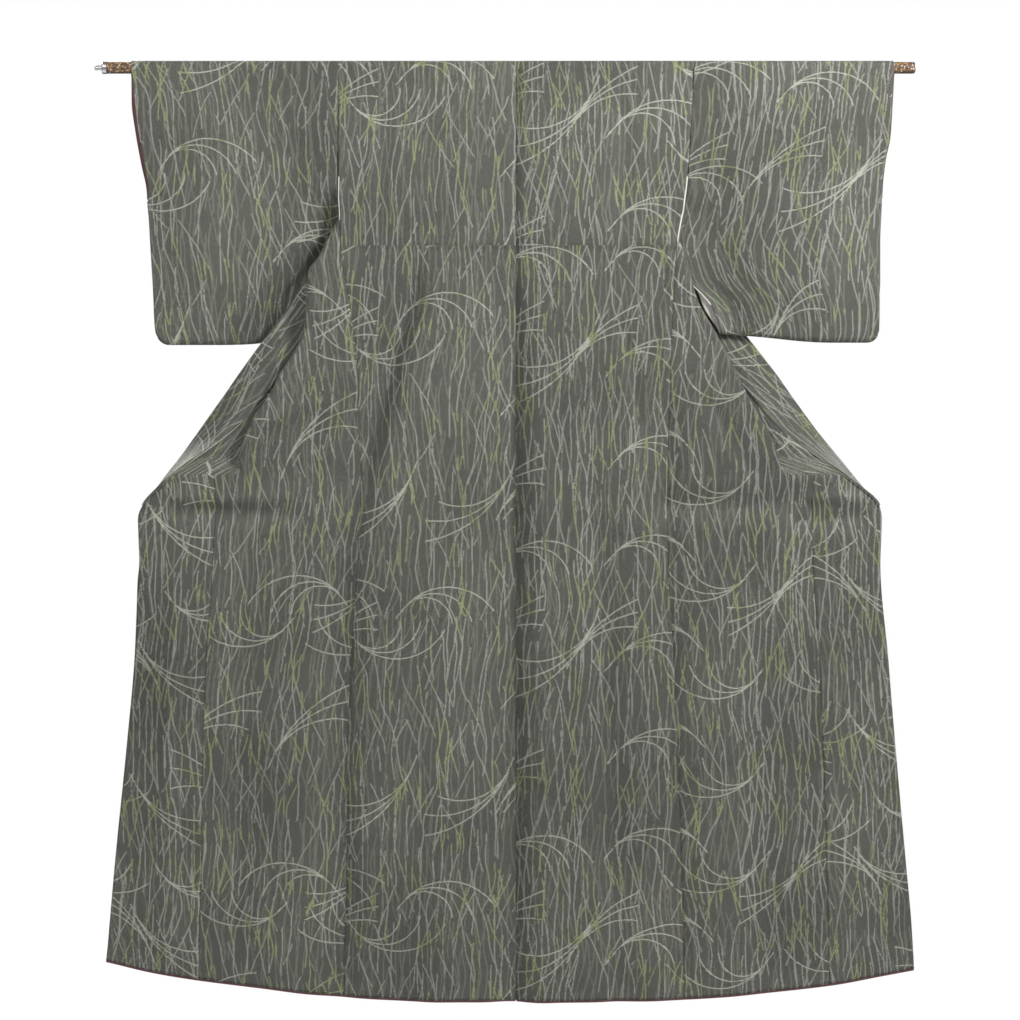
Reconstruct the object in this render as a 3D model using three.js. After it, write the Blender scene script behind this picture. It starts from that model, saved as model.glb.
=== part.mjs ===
import * as THREE from 'three';

// Lined kimono seen from its back, hung on a rod through both sleeves, its fronts drawn out to the sides.
// Millimetres. X to the right of the back view, Z up, the back faces -Y. Origin on the rod axis, mid back.

// Driving sizes
const CLOTH_WALL = 2;
const COLLAR_WALL = 4;
const COLLAR_WIDTH = 57;
const LINING_WALL = 1;
const SEAM_GAP = 0.3;
const ROD_RADIUS = 10;
const ROD_LEFT_END = -703;
const ROD_RIGHT_END = 686;
const SHOULDER_HALF = 305;
const NECK_HALF = 88;
const NECK_FLAP_DROP = 22;
const ARMHOLE_DROP = 205;
const HEM_DROP = 1603;
const CUFF_OPENING_DROP = 230;
const COLLAR_RISE = 0.594;
const COLLAR_SPREAD = 0.805;

// Cloth passes over the rod on this radius, measured at mid wall.
const OVER_ROD = ROD_RADIUS + 0.4 + CLOTH_WALL / 2;
const OVER_ROD_STEPS = 8;

const ORIENT = { left: -1, right: 1 };

// A table is a list of named columns and rows of numbers. Between rows a column runs straight or eased.
function table(columns, rows) {
  return { columns, rows };
}

function column(t, name, at) {
  const k = t.columns.indexOf(name);
  const rows = t.rows;
  if (at <= rows[0][0]) {
    return rows[0][k];
  }
  for (let i = 1; i < rows.length; i += 1) {
    if (at <= rows[i][0]) {
      const share = (at - rows[i - 1][0]) / (rows[i][0] - rows[i - 1][0]);
      return rows[i - 1][k] + share * (rows[i][k] - rows[i - 1][k]);
    }
  }
  return rows[rows.length - 1][k];
}

function eased(share) {
  const s = Math.min(1, Math.max(0, share));
  return s * s * (3 - 2 * s);
}

// Side seam and pleat fold of each front: distance from mid back against the drop below the rod.
// side: side seam. fold: the outer fold of the pleat under the armhole. seam: collar seam or front edge.
// turn: how far the collar band lies flat in the plane of the front (1) or points away (0).
const FRONT = {
  left: table(['drop', 'side', 'fold', 'seam', 'turn'], [
    [205, 304.7, 304.7, 170, 1],
    [228, 304, 304, 188, 1],
    [251, 303, 304, 205, 1],
    [275, 302, 313, 222, 1],
    [298, 301.5, 326, 239, 1],
    [323, 301, 338, 257, 1],
    [349, 297, 356, 276, 1],
    [397, 288, 360, 312, 1],
    [448, 280, 364, 349, 1],
    [488, 275, 381, 379, 1],
    [527, 273, 406, 408, 1],
    [563, 272, 424, 436, 0.98],
    [600, 272, 450, 467, 0.92],
    [640, 271, 468, 512, 0.71],
    [670, 269, 476, 553, 0.44],
    [700, 268, 500, 592, 0.2],
    [728, 268, 506, 621, 0.08],
    [745, 268, 510, 637, 0.03],
    [774, 269, 515, 649, 0],
    [846, 273, 520, 647, 0],
    [885, 275, 520, 651, 0],
    [1018, 284, 520, 657, 0],
    [1176, 290, 525, 670, 0],
    [1393, 292, 537, 689, 0],
    [1535, 296, 545, 700, 0],
    [1603, 297, 546, 705, 0],
  ]),
  right: table(['drop', 'side', 'fold', 'seam', 'turn'], [
    [205, 302.5, 302.5, 150, 1],
    [228, 294, 294, 164, 1],
    [251, 286, 287, 178, 1],
    [275, 281, 283, 194, 1],
    [298, 277, 282, 209, 1],
    [323, 275, 292, 226, 1],
    [349, 273, 298, 244, 1],
    [397, 270, 311, 278, 1],
    [448, 268, 339, 315, 1],
    [488, 266, 361, 346, 1],
    [527, 265, 380, 377, 1],
    [563, 264, 398, 408, 0.97],
    [600, 263, 418, 440, 0.9],
    [640, 262, 440, 486, 0.68],
    [670, 261, 450, 524, 0.5],
    [700, 261, 456, 565, 0.26],
    [728, 261, 461, 601, 0.08],
    [745, 261, 466, 621, 0.03],
    [774, 261, 480, 628, 0],
    [846, 262, 500, 626, 0],
    [1018, 272, 512, 640, 0],
    [1176, 279, 520, 652, 0],
    [1393, 285, 527, 669, 0],
    [1535, 289, 534, 680, 0],
    [1603, 290, 535, 683, 0],
  ]),
};

// True cloth widths of a front against the drop: body panel alone, and body panel with overlap panel.
// Above the armhole, reach is where the turned-over collar line folds, and turn as in the table above.
const FRONT_CLOTH = table(['drop', 'panel', 'whole', 'reach', 'neckTurn'], [
  [0, 216.7, 216.7, 88, 0],
  [22, 223.5, 223.5, 89, 0.08],
  [60, 230, 230, 91, 0.35],
  [110, 238, 238, 95, 0.7],
  [160, 245, 245, 104, 0.93],
  [205, 251, 251, 115, 1],
  [300, 258, 258, 0, 1],
  [380, 256, 257, 0, 1],
  [450, 253, 276, 0, 1],
  [550, 250, 309, 0, 1],
  [640, 254, 338, 0, 1],
  [670, 256, 347, 0, 1],
  [700, 250, 357, 0, 1],
  [745, 247, 375, 0, 1],
  [1603, 247, 400, 0, 1],
]);

// Depth of the layers: innerLayer is the Y of the middle layer of the pleat, roll the two fold radii.
const PLEAT = table(['drop', 'middle', 'outerRoll', 'innerRoll'], [
  [0, 11.4, 0, 5],
  [60, 10.5, 0, 5],
  [205, 9, 0, 5],
  [228, 8.6, 3.5, 5],
  [251, 8.2, 6, 5],
  [298, 7, 8, 5],
  [450, 5, 7, 5],
  [600, 2.5, 6, 4.5],
  [670, 0, 5, 4.5],
  [700, -6.5, 0, 0],
  [1603, -8, 0, 0],
]);

// Hem drop against the distance from mid back.
const HEM = {
  left: table(['out', 'drop'], [
    [0, 1603],
    [131, 1601],
    [237, 1597],
    [355, 1589],
    [434, 1579],
    [545, 1565],
    [631, 1551],
    [705, 1535],
  ]),
  right: table(['out', 'drop'], [
    [0, 1603],
    [131, 1602],
    [237, 1600],
    [355, 1594],
    [434, 1586],
    [545, 1573],
    [631, 1557],
    [690, 1546],
  ]),
};

// Largest soft folds of the body cloth. Each runs from one point to the other, depth towards the front.
const FOLD_COLUMNS = ['fromX', 'fromDrop', 'toX', 'toDrop', 'width', 'depth'];
const BODY_FOLDS = [
  [-145, 330, -259, 740, 20, 7],
  [-259, 740, -282, 1560, 16, 5],
  [262, 700, 280, 1560, 16, 5],
  [-12, 500, -8, 1560, 13, -4],
  [150, 760, 190, 1560, 30, 5],
  [-130, 800, -150, 1560, 34, -5],
  [-400, 800, -440, 1520, 30, 5],
  [-610, 800, -640, 1520, 22, -5],
  [420, 800, 450, 1520, 30, 5],
  [600, 800, 640, 1520, 22, -5],
];

function foldDepth(x, drop) {
  let depth = 0;
  for (const row of BODY_FOLDS) {
    const f = Object.fromEntries(FOLD_COLUMNS.map((name, k) => [name, row[k]]));
    const dx = f.toX - f.fromX;
    const dz = f.toDrop - f.fromDrop;
    const run = ((x - f.fromX) * dx + (drop - f.fromDrop) * dz) / (dx * dx + dz * dz);
    const share = Math.min(1, Math.max(0, run));
    const away = Math.hypot(x - f.fromX - share * dx, drop - f.fromDrop - share * dz);
    const start = eased((share + 0.02) * 5);
    depth += f.depth * start * Math.exp(-((away / f.width) ** 2));
  }
  return depth;
}

// Makes a closed wall from a middle surface: vertices, faces facing outward, and the wall.
function thicken(vertices, faces, wall) {
  const normals = vertices.map(() => new THREE.Vector3());
  const triangles = [];
  for (const face of faces) {
    for (let k = 2; k < face.length; k += 1) {
      triangles.push([face[0], face[k - 1], face[k]]);
    }
  }
  for (const [a, b, c] of triangles) {
    const ab = vertices[b].clone().sub(vertices[a]);
    const ac = vertices[c].clone().sub(vertices[a]);
    const n = ab.cross(ac);
    for (const v of [a, b, c]) {
      normals[v].add(n);
    }
  }
  const count = vertices.length;
  const position = [];
  for (const side of [1, -1]) {
    vertices.forEach((v, i) => {
      const n = normals[i].clone().normalize();
      if (v.square) {
        const facing = Math.sign(v.square.dot(n));
        n.copy(v.square).multiplyScalar(facing);
      }
      const p = v.clone().addScaledVector(n, (side * wall) / 2);
      position.push(p.x, p.y, p.z);
    });
  }
  const index = [];
  const edges = new Map();
  for (const [a, b, c] of triangles) {
    index.push(a, b, c, count + a, count + c, count + b);
    for (const [p, q] of [[a, b], [b, c], [c, a]]) {
      if (edges.has(`${q} ${p}`)) {
        edges.delete(`${q} ${p}`);
      } else {
        edges.set(`${p} ${q}`, [p, q]);
      }
    }
  }
  for (const [p, q] of edges.values()) {
    index.push(p, count + p, q, q, count + p, count + q);
  }
  return solidFrom(position, index);
}

function solidFrom(position, index) {
  const geometry = new THREE.BufferGeometry();
  geometry.setAttribute('position', new THREE.Float32BufferAttribute(position, 3));
  geometry.setIndex(index);
  return geometry;
}

// Joins rows of points into faces. Missing points leave a notch. The first row is the lowest of the back.
function gridFaces(rows, flip, wrap = false) {
  const vertices = [];
  const ids = rows.map((row) => row.map((p) => (p ? vertices.push(p) - 1 : -1)));
  const faces = [];
  const last = wrap ? rows.length : rows.length - 1;
  for (let i = 0; i < last; i += 1) {
    const up = ids[(i + 1) % rows.length];
    for (let j = 0; j + 1 < rows[i].length; j += 1) {
      const quad = [ids[i][j], ids[i][j + 1], up[j + 1], up[j]];
      if (Math.min(...quad) >= 0) {
        faces.push(flip ? quad.reverse() : quad);
      }
    }
  }
  return { vertices, faces, ids };
}

// Cross path of one front at one drop, from the side seam to the collar seam, as points 1 mm apart or so.
function frontPath(sideName, drop) {
  const t = FRONT[sideName];
  const panel = column(FRONT_CLOTH, 'panel', drop);
  const whole = column(FRONT_CLOTH, 'whole', drop);
  const middle = column(PLEAT, 'middle', drop);
  let outerRoll = column(PLEAT, 'outerRoll', drop);
  const innerRoll = column(PLEAT, 'innerRoll', drop);
  const pen = [];
  let out;
  let depth;
  let foldAt = 0;
  let reachAt = 0;
  const line = (toOut, toDepth) => {
    const steps = Math.max(1, Math.round(Math.hypot(toOut - out, toDepth - depth) / 2));
    const fromOut = out;
    const fromDepth = depth;
    for (let k = 1; k <= steps; k += 1) {
      pen.push([fromOut + ((toOut - fromOut) * k) / steps, fromDepth + ((toDepth - fromDepth) * k) / steps]);
    }
    out = toOut;
    depth = toDepth;
  };
  const arc = (centreOut, centreDepth, radius, from, to) => {
    for (let k = 1; k <= 12; k += 1) {
      const a = from + ((to - from) * k) / 12;
      pen.push([centreOut + radius * Math.cos(a), centreDepth + radius * Math.sin(a)]);
    }
    [out, depth] = pen[pen.length - 1];
  };
  if (drop <= ARMHOLE_DROP) {
    const start = sideName === 'right' ? column(t, 'side', drop) : SHOULDER_HALF - SEAM_GAP;
    const reach = column(FRONT_CLOTH, 'reach', drop);
    const turned = Math.PI / 2 + Math.asin(column(FRONT_CLOTH, 'neckTurn', drop));
    out = drop < ARMHOLE_DROP - 60 ? SHOULDER_HALF - SEAM_GAP : start;
    depth = middle;
    pen.push([out, depth]);
    if (drop < 1) {
      line(NECK_HALF, middle);
      return { pen, foldAt: 0, reachAt: 0, panel, whole };
    }
    line(reach + innerRoll, middle);
    reachAt = out;
    arc(reach + innerRoll, middle + innerRoll, innerRoll, -Math.PI / 2, -Math.PI / 2 - turned);
    const used = SHOULDER_HALF - SEAM_GAP - (reach + innerRoll) + turned * innerRoll;
    const rest = Math.max(1, whole - used);
    line(out - Math.cos(turned) * rest, depth + Math.sin(turned) * rest);
    return { pen, foldAt: 0, reachAt: pathLength(pen.slice(0, 1).concat([[reachAt, middle]])), panel, whole };
  }
  const side = column(t, 'side', drop);
  const fold = column(t, 'fold', drop);
  const seam = column(t, 'seam', drop);
  const spare = whole - (seam - side) - 1.14 * (outerRoll + innerRoll);
  if (innerRoll < 2.9 || spare < 2 * (outerRoll + innerRoll)) {
    out = side;
    depth = middle;
    pen.push([out, depth]);
    line(seam, middle);
    return { pen, foldAt: fold - side, reachAt: fold - side + 24, panel, whole: seam - side };
  }
  const reach = fold - spare / 2;
  outerRoll = Math.max(0.8, outerRoll);
  const centre = fold - outerRoll;
  let start = Math.PI / 2;
  if (centre <= side) {
    start = Math.acos(Math.min(1, (side - centre) / outerRoll));
    out = centre + outerRoll * Math.cos(start);
    depth = middle - outerRoll - outerRoll * Math.sin(start);
    pen.push([out, depth]);
  } else {
    out = side;
    depth = middle - 2 * outerRoll;
    pen.push([out, depth]);
    line(centre, depth);
  }
  foldAt = pathLength(pen);
  arc(centre, middle - outerRoll, outerRoll, -start, Math.PI / 2);
  foldAt = (foldAt + pathLength(pen)) / 2;
  line(reach + innerRoll, middle);
  reachAt = pathLength(pen);
  arc(reach + innerRoll, middle + innerRoll, innerRoll, -Math.PI / 2, -1.5 * Math.PI);
  reachAt = (reachAt + pathLength(pen)) / 2;
  line(seam, depth);
  return { pen, foldAt, reachAt, panel, whole: pathLength(pen) };
}

function pathLength(pen) {
  let length = 0;
  for (let k = 1; k < pen.length; k += 1) {
    length += Math.hypot(pen[k][0] - pen[k - 1][0], pen[k][1] - pen[k - 1][1]);
  }
  return length;
}

function alongPath(pen, at) {
  let left = at;
  for (let k = 1; k < pen.length; k += 1) {
    const step = Math.hypot(pen[k][0] - pen[k - 1][0], pen[k][1] - pen[k - 1][1]);
    if (left <= step || k === pen.length - 1) {
      const share = step > 0 ? left / step : 0;
      const run = [pen[k][0] - pen[k - 1][0], pen[k][1] - pen[k - 1][1]];
      return [pen[k - 1][0] + share * run[0], pen[k - 1][1] + share * run[1], run[0] / step, run[1] / step];
    }
    left -= step;
  }
  return pen[0];
}

// Final place of a body point: the hem curve lowers it and the soft folds move it in depth.
function placed(sideName, out, depth, drop) {
  const x = ORIENT[sideName] * out;
  const hem = column(HEM[sideName], 'drop', out);
  const low = eased((drop - 900) / (HEM_DROP - 900));
  const realDrop = drop - (HEM_DROP - hem) * low * (drop / HEM_DROP);
  return new THREE.Vector3(x, depth + foldDepth(x, drop), -realDrop);
}

// Points of a front at the given distances along its path. At a seam the wall stands square to the path,
// so that the two edges of the seam stay parallel.
function frontRow(sideName, drop, path, stops, seamAt) {
  return stops.map((s, k) => {
    const [out, depth, runOut, runDepth] = alongPath(path.pen, s);
    const p = placed(sideName, out, depth, drop);
    if (k === seamAt) {
      p.square = new THREE.Vector3(-runDepth * ORIENT[sideName], runOut, 0);
    }
    return p;
  });
}

const BACK_DROPS = [
  1603, 1500, 1390, 1270, 1150, 1030, 920, 830, 764, 700, 640, 570, 500, 430, 360, 306, 251, 205, 140, 60,
];
const FRONT_DROPS = [
  0, 22, 60, 110, 160, 205, 228, 251, 275, 298, 323, 349, 397, 448, 488, 527, 563, 600, 640, 670, 700, 728,
  745, 774, 830, 920, 1030, 1150, 1270, 1390, 1500, 1603,
];

// Columns of a front are gathered round the two folds of the pleat.
const PANEL_COLUMNS = 17;

function panelStops(path, end) {
  const fold = Math.min(Math.max(path.foldAt, 14), end - 50);
  const reach = Math.min(Math.max(path.reachAt, fold + 24), end - 16);
  return [
    0,
    (fold - 11) * 0.5,
    fold - 11,
    fold - 4,
    fold + 4,
    fold + 11,
    fold + 11 + (reach - fold - 22) * 0.25,
    fold + 11 + (reach - fold - 22) * 0.5,
    fold + 11 + (reach - fold - 22) * 0.75,
    reach - 10,
    reach - 4,
    reach + 4,
    reach + 10,
    reach + 10 + (end - reach - 10) * 0.3,
    reach + 10 + (end - reach - 10) * 0.55,
    reach + 10 + (end - reach - 10) * 0.8,
    end,
  ];
}

// Body panels: each is one length from the back hem over the rod to the front hem, slit at the neck.
function backDepth(sideName, out, drop) {
  const side = drop <= ARMHOLE_DROP ? SHOULDER_HALF : column(FRONT[sideName], 'side', drop);
  const middle = column(PLEAT, 'middle', drop);
  const roll = column(PLEAT, 'outerRoll', drop);
  const atSide = drop <= ARMHOLE_DROP ? -OVER_ROD : middle - 2 * roll;
  const near = eased((out - side + 60) / 60);
  return -OVER_ROD + near * (Math.max(atSide, -OVER_ROD) + OVER_ROD) * eased((drop - 228) / 70);
}

function backSide(sideName, drop) {
  if (drop <= 140) {
    return SHOULDER_HALF - SEAM_GAP;
  }
  return column(FRONT[sideName], 'side', drop) - SEAM_GAP * 2 * eased((drop - 205) / 40);
}

function shareStops(count, from, to) {
  return Array.from({ length: count }, (_, k) => from + ((to - from) * k) / (count - 1));
}

function bodyPanel(sideName) {
  const rows = [];
  const neckStops = [66, 36, 0];
  for (const drop of BACK_DROPS) {
    const side = backSide(sideName, drop);
    const stops = shareStops(PANEL_COLUMNS, side, NECK_HALF).concat(neckStops);
    stops[stops.length - 1] = SEAM_GAP / 2;
    rows.push(stops.map((out) => placed(sideName, out, backDepth(sideName, out, drop), drop)));
  }
  const top = frontPath(sideName, 0);
  const topStops = panelStops(top, top.panel).map((s) => alongPath(top.pen, s)[0]);
  for (let k = 0; k <= OVER_ROD_STEPS; k += 1) {
    const a = (Math.PI * k) / OVER_ROD_STEPS;
    const even = shareStops(PANEL_COLUMNS, SHOULDER_HALF - SEAM_GAP, NECK_HALF);
    const mix = k / OVER_ROD_STEPS;
    const stops = even.map((out, j) => out + mix * (topStops[j] - out)).concat(neckStops);
    stops[stops.length - 1] = SEAM_GAP / 2;
    rows.push(
      stops.map(
        (out) =>
          new THREE.Vector3(
            ORIENT[sideName] * out,
            -OVER_ROD * Math.cos(a),
            OVER_ROD * Math.sin(a),
          ),
      ),
    );
  }
  FRONT_DROPS.slice(1).forEach((drop, k) => {
    const path = frontPath(sideName, drop);
    const joined = drop >= OVERLAP_POINT_DROP;
    const end = Math.min(joined ? path.panel : path.whole, pathLength(path.pen));
    const stops = panelStops(path, end - (joined ? SEAM_GAP / 2 : 0));
    const row = frontRow(sideName, drop, path, stops, joined ? PANEL_COLUMNS - 1 : -1);
    if (k === 0) {
      const flap = neckStops.map((out) => new THREE.Vector3(
        ORIENT[sideName] * (out || SEAM_GAP / 2),
        OVER_ROD,
        -NECK_FLAP_DROP,
      ));
      rows.push(row.concat(flap));
    } else {
      rows.push(row.concat([null, null, null]));
    }
  });
  const { vertices, faces, ids } = gridFaces(rows, sideName === 'right');
  const flapRow = BACK_DROPS.length + OVER_ROD_STEPS;
  const bridge = [ids[flapRow][PANEL_COLUMNS - 1], ids[flapRow][PANEL_COLUMNS]];
  const kept = faces.filter((face) => !(face.includes(bridge[0]) && face.includes(bridge[1])
    && face.includes(ids[flapRow + 1][PANEL_COLUMNS])));
  return thicken(vertices, kept, CLOTH_WALL);
}

// Overlap panels: each fills from the body panel seam to the collar seam, pointed at the top.
const OVERLAP_POINT_DROP = 397;
const OVERLAP_DROPS = FRONT_DROPS.filter((drop) => drop >= OVERLAP_POINT_DROP);
const OVERLAP_COLUMNS = 7;

function overlapPanel(sideName) {
  const rows = OVERLAP_DROPS.map((drop) => {
    const path = frontPath(sideName, drop);
    const end = pathLength(path.pen);
    const begin = Math.min(path.panel, end - 2) + SEAM_GAP / 2;
    const stops = shareStops(OVERLAP_COLUMNS, begin, end);
    stops[1] = Math.min(stops[1], begin + 8);
    stops[2] = Math.min(stops[2], begin + 24);
    return frontRow(sideName, drop, path, stops, 0);
  });
  const { vertices, faces } = gridFaces(rows, sideName === 'right');
  return thicken(vertices, faces, CLOTH_WALL);
}

// Collar band: folded double, from one collar end up to the neck, behind it and down to the other end.
const COLLAR_END_DROP = 745;
const COLLAR_DROPS = FRONT_DROPS.filter((drop) => drop > 0 && drop <= COLLAR_END_DROP).reverse();
const NECK_STATIONS = [
  [70, 14.5, 12],
  [50, 13, 32],
  [26, 12.6, 52],
  [0, 12.4, 64],
];

function collarStation(sideName, drop) {
  const path = frontPath(sideName, drop);
  const end = path.pen[path.pen.length - 1];
  const turn = drop <= ARMHOLE_DROP
    ? column(FRONT_CLOTH, 'neckTurn', drop)
    : column(FRONT[sideName], 'turn', drop);
  const away = Math.sqrt(1 - turn * turn);
  const along = new THREE.Vector3(ORIENT[sideName] * COLLAR_SPREAD * turn, away, COLLAR_RISE * turn);
  const base = placed(sideName, end[0], end[1], drop).addScaledVector(along, CLOTH_WALL / 2 + 2 * SEAM_GAP);
  return { base, along };
}

function collarBand() {
  const stations = COLLAR_DROPS.map((drop) => collarStation('left', drop));
  const neck = NECK_STATIONS.map(([out, depth, tilt]) => {
    const a = (tilt * Math.PI) / 180;
    const along = new THREE.Vector3(0, Math.cos(a), -Math.sin(a));
    return { out, depth, along };
  });
  const base = (n, sign) =>
    new THREE.Vector3(sign * n.out, n.depth, -NECK_FLAP_DROP - 1).addScaledVector(n.along, 1);
  neck.forEach((n) => stations.push({ base: base(n, -1), along: n.along }));
  neck.slice(0, -1).reverse().forEach((n) => stations.push({ base: base(n, 1), along: n.along }));
  COLLAR_DROPS.slice().reverse().forEach((drop) => stations.push(collarStation('right', drop)));
  const rows = stations.map(({ base: b, along }) =>
    shareStops(4, 0, COLLAR_WIDTH).map((s) => b.clone().addScaledVector(along, s)));
  const { vertices, faces } = gridFaces(rows, true);
  return thicken(vertices, faces, COLLAR_WALL);
}

// Sleeves: a bag hung over the rod, open to the body, and at the wrist down to the cuff opening's end.
// cuffBack and cuffFront: outer edge of the two layers. innerBack and innerFront: edge towards the body.
const SLEEVE = {
  left: table(['drop', 'cuffBack', 'cuffFront', 'innerBack', 'innerFront', 'shift'], [
    [0, 660, 661, 305, 305, 0],
    [56, 654, 660.5, 305, 305, 0],
    [108, 648, 654, 305, 305, 0],
    [168, 637, 643, 305, 305, 0],
    [205, 631, 635, 305, 305, 0],
    [228, 631, 633, 305.5, 305.5, 7],
    [262, 629, 629, 306, 306, 25],
    [298, 627, 627, 306, 306, 35],
    [381, 622, 622, 307, 307, 36],
    [444, 619, 619, 309, 309, 36],
    [476, 613, 613, 312, 312, 36],
  ]),
  right: table(['drop', 'cuffBack', 'cuffFront', 'innerBack', 'innerFront', 'shift'], [
    [0, 648, 648, 305, 305, 0],
    [56, 645, 646, 305, 305, 0],
    [119, 641, 643, 305, 305, 0],
    [160, 633, 634, 305, 305, 0],
    [205, 628, 628, 305, 305, 0],
    [251, 626, 626, 302, 293, 0],
    [298, 624, 624, 299, 287.5, 0],
    [345, 624, 624, 318, 300, 0],
    [376, 624, 624, 331, 310, 0],
    [417, 623, 623, 338, 325, 0],
    [457, 622, 622, 352, 350, 0],
    [476, 616, 616, 354, 354, 0],
  ]),
};
const SLEEVE_FOOT = { left: [455, 476], right: [458, 472] };
const SLEEVE_DROPS = [444, 410, 376, 340, 298, 262, 228, 205, 160, 119, 56, 20];
const SLEEVE_STOPS = [0, 0.1, 0.2, 0.3, 0.42, 0.55, 0.7, 0.84, 0.94, 1];
const TAUT = { left: [90, 0.7376], right: [60, 0.74] };

function sleevePoint(sideName, share, drop, layer) {
  const t = SLEEVE[sideName];
  const front = (layer + 1) / 2;
  const cuff = column(t, 'cuffBack', drop) * (1 - front) + column(t, 'cuffFront', drop) * front;
  const inner = column(t, 'innerBack', drop) * (1 - front) + column(t, 'innerFront', drop) * front;
  const out = inner + SEAM_GAP + share * (cuff - inner - SEAM_GAP);
  const edge = Math.max(SHOULDER_HALF, TAUT[sideName][0] + TAUT[sideName][1] * drop) + 8;
  const shift = column(t, 'shift', drop) * eased(1 - (out - edge) / 110);
  const sewn = eased((drop - CUFF_OPENING_DROP + 20) / 40) * eased((share - 0.78) / 0.22);
  const half = OVER_ROD - 2.4 * eased(drop / 205) - 1.2 * eased((drop - 250) / 200);
  const gap = half * (1 - sewn) + 4 * sewn;
  return new THREE.Vector3(ORIENT[sideName] * out, layer * gap + shift, -drop);
}

function sleeveFoot(sideName, share) {
  const [inner, outer] = SLEEVE_FOOT[sideName];
  const corner = 15 * eased((share - 0.88) / 0.12);
  return inner + (outer - inner) * eased(share / 0.7) - corner;
}

function sleeve(sideName) {
  const rows = [];
  const foot = (share) => sleeveFoot(sideName, share);
  const low = (layer, lift) => SLEEVE_STOPS.map((s) => {
    const p = sleevePoint(sideName, s, foot(s) - lift, layer);
    return p;
  });
  const bottom = SLEEVE_STOPS.map((s) => {
    const p = sleevePoint(sideName, s, foot(s) - 4, 0);
    p.z = -foot(s);
    return p;
  });
  rows.push(bottom);
  rows.push(low(-1, 4));
  for (const drop of SLEEVE_DROPS) {
    rows.push(SLEEVE_STOPS.map((s) => sleevePoint(sideName, s, Math.min(drop, foot(s) - 8), -1)));
  }
  for (let k = 0; k <= OVER_ROD_STEPS; k += 1) {
    const a = (Math.PI * k) / OVER_ROD_STEPS;
    rows.push(SLEEVE_STOPS.map((s) => {
      const p = sleevePoint(sideName, s, 0, -Math.cos(a));
      return new THREE.Vector3(p.x, -OVER_ROD * Math.cos(a), OVER_ROD * Math.sin(a));
    }));
  }
  for (const drop of SLEEVE_DROPS.slice().reverse()) {
    rows.push(SLEEVE_STOPS.map((s) => sleevePoint(sideName, s, Math.min(drop, foot(s) - 8), 1)));
  }
  rows.push(low(1, 4));
  const { vertices, faces, ids } = gridFaces(rows, sideName === 'right', true);
  const outer = SLEEVE_STOPS.length - 1;
  const count = rows.length;
  let previous = ids[0][outer];
  for (let k = 1; k <= 1 + SLEEVE_DROPS.length; k += 1) {
    const back = ids[k][outer];
    const front = ids[count - k][outer];
    const p = vertices[back].clone().add(vertices[front]).multiplyScalar(0.5);
    if (-p.z < CUFF_OPENING_DROP - 6) {
      break;
    }
    p.x += ORIENT[sideName] * 2;
    const middle = vertices.push(p) - 1;
    const lowerBack = k === 1 ? null : ids[k - 1][outer];
    const lowerFront = k === 1 ? null : ids[count - k + 1][outer];
    const first = lowerBack === null ? [previous, back, middle] : [lowerBack, back, middle, previous];
    const second = lowerFront === null ? [previous, middle, front] : [previous, middle, front, lowerFront];
    for (const face of [first, second]) {
      faces.push(sideName === 'right' ? face : face.slice().reverse());
    }
    previous = middle;
  }
  return thicken(vertices, faces, CLOTH_WALL);
}

// Lining strips lie on the inner face of the front layer of a sleeve.
function sleeveStrip(sideName, drops, shares, layer) {
  const inward = CLOTH_WALL / 2 + SEAM_GAP + LINING_WALL / 2;
  const rows = drops.map((drop) => shares.map((s) => {
    const p = sleevePoint(sideName, s, drop, layer);
    p.y -= layer * inward;
    return p;
  }));
  const { vertices, faces } = gridFaces(rows, sideName === 'left');
  return thicken(vertices, faces, LINING_WALL);
}

// Hem rolls: a round roll of lining just below the hem, from the front corner to mid back.
const HEM_ROLL_RADIUS = 1.6;
const HEM_ROLL_SIDES = 6;

function hemRoll(sideName) {
  const points = [];
  const path = frontPath(sideName, HEM_DROP);
  const side = column(FRONT[sideName], 'side', HEM_DROP);
  const edge = column(FRONT[sideName], 'seam', HEM_DROP);
  for (const out of shareStops(15, edge, side)) {
    points.push(placed(sideName, out, path.pen[0][1], HEM_DROP));
  }
  for (const out of shareStops(11, side, 2).slice(1)) {
    points.push(placed(sideName, out, backDepth(sideName, out, HEM_DROP), HEM_DROP));
  }
  const position = [];
  const index = [];
  points.forEach((p, i) => {
    for (let k = 0; k < HEM_ROLL_SIDES; k += 1) {
      const a = (2 * Math.PI * k) / HEM_ROLL_SIDES;
      position.push(
        p.x,
        p.y + HEM_ROLL_RADIUS * Math.cos(a),
        p.z - SEAM_GAP - HEM_ROLL_RADIUS + HEM_ROLL_RADIUS * Math.sin(a) - 0.2,
      );
      if (i + 1 < points.length) {
        const n = (k + 1) % HEM_ROLL_SIDES;
        const at = i * HEM_ROLL_SIDES;
        const next = at + HEM_ROLL_SIDES;
        const quad = [at + k, at + n, next + n, next + k];
        const ring = sideName === 'left' ? quad : quad.slice().reverse();
        index.push(ring[0], ring[1], ring[2], ring[0], ring[2], ring[3]);
      }
    }
  });
  const end = (points.length - 1) * HEM_ROLL_SIDES;
  for (let k = 1; k + 1 < HEM_ROLL_SIDES; k += 1) {
    const start = [0, k + 1, k];
    const finish = [end, end + k, end + k + 1];
    index.push(...(sideName === 'left' ? start : start.reverse()));
    index.push(...(sideName === 'left' ? finish : finish.reverse()));
  }
  return solidFrom(position, index);
}

// Hanging rod: painted tube with a rounded right end, and a bright ferrule with a pin at its left end.
const FERRULE_RADIUS = 10.6;
const FERRULE_LEFT_END = -711;
const PIN_RADIUS = 4;
const PIN_LEFT_END = -724;
const ROD_FACETS = 32;

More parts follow.
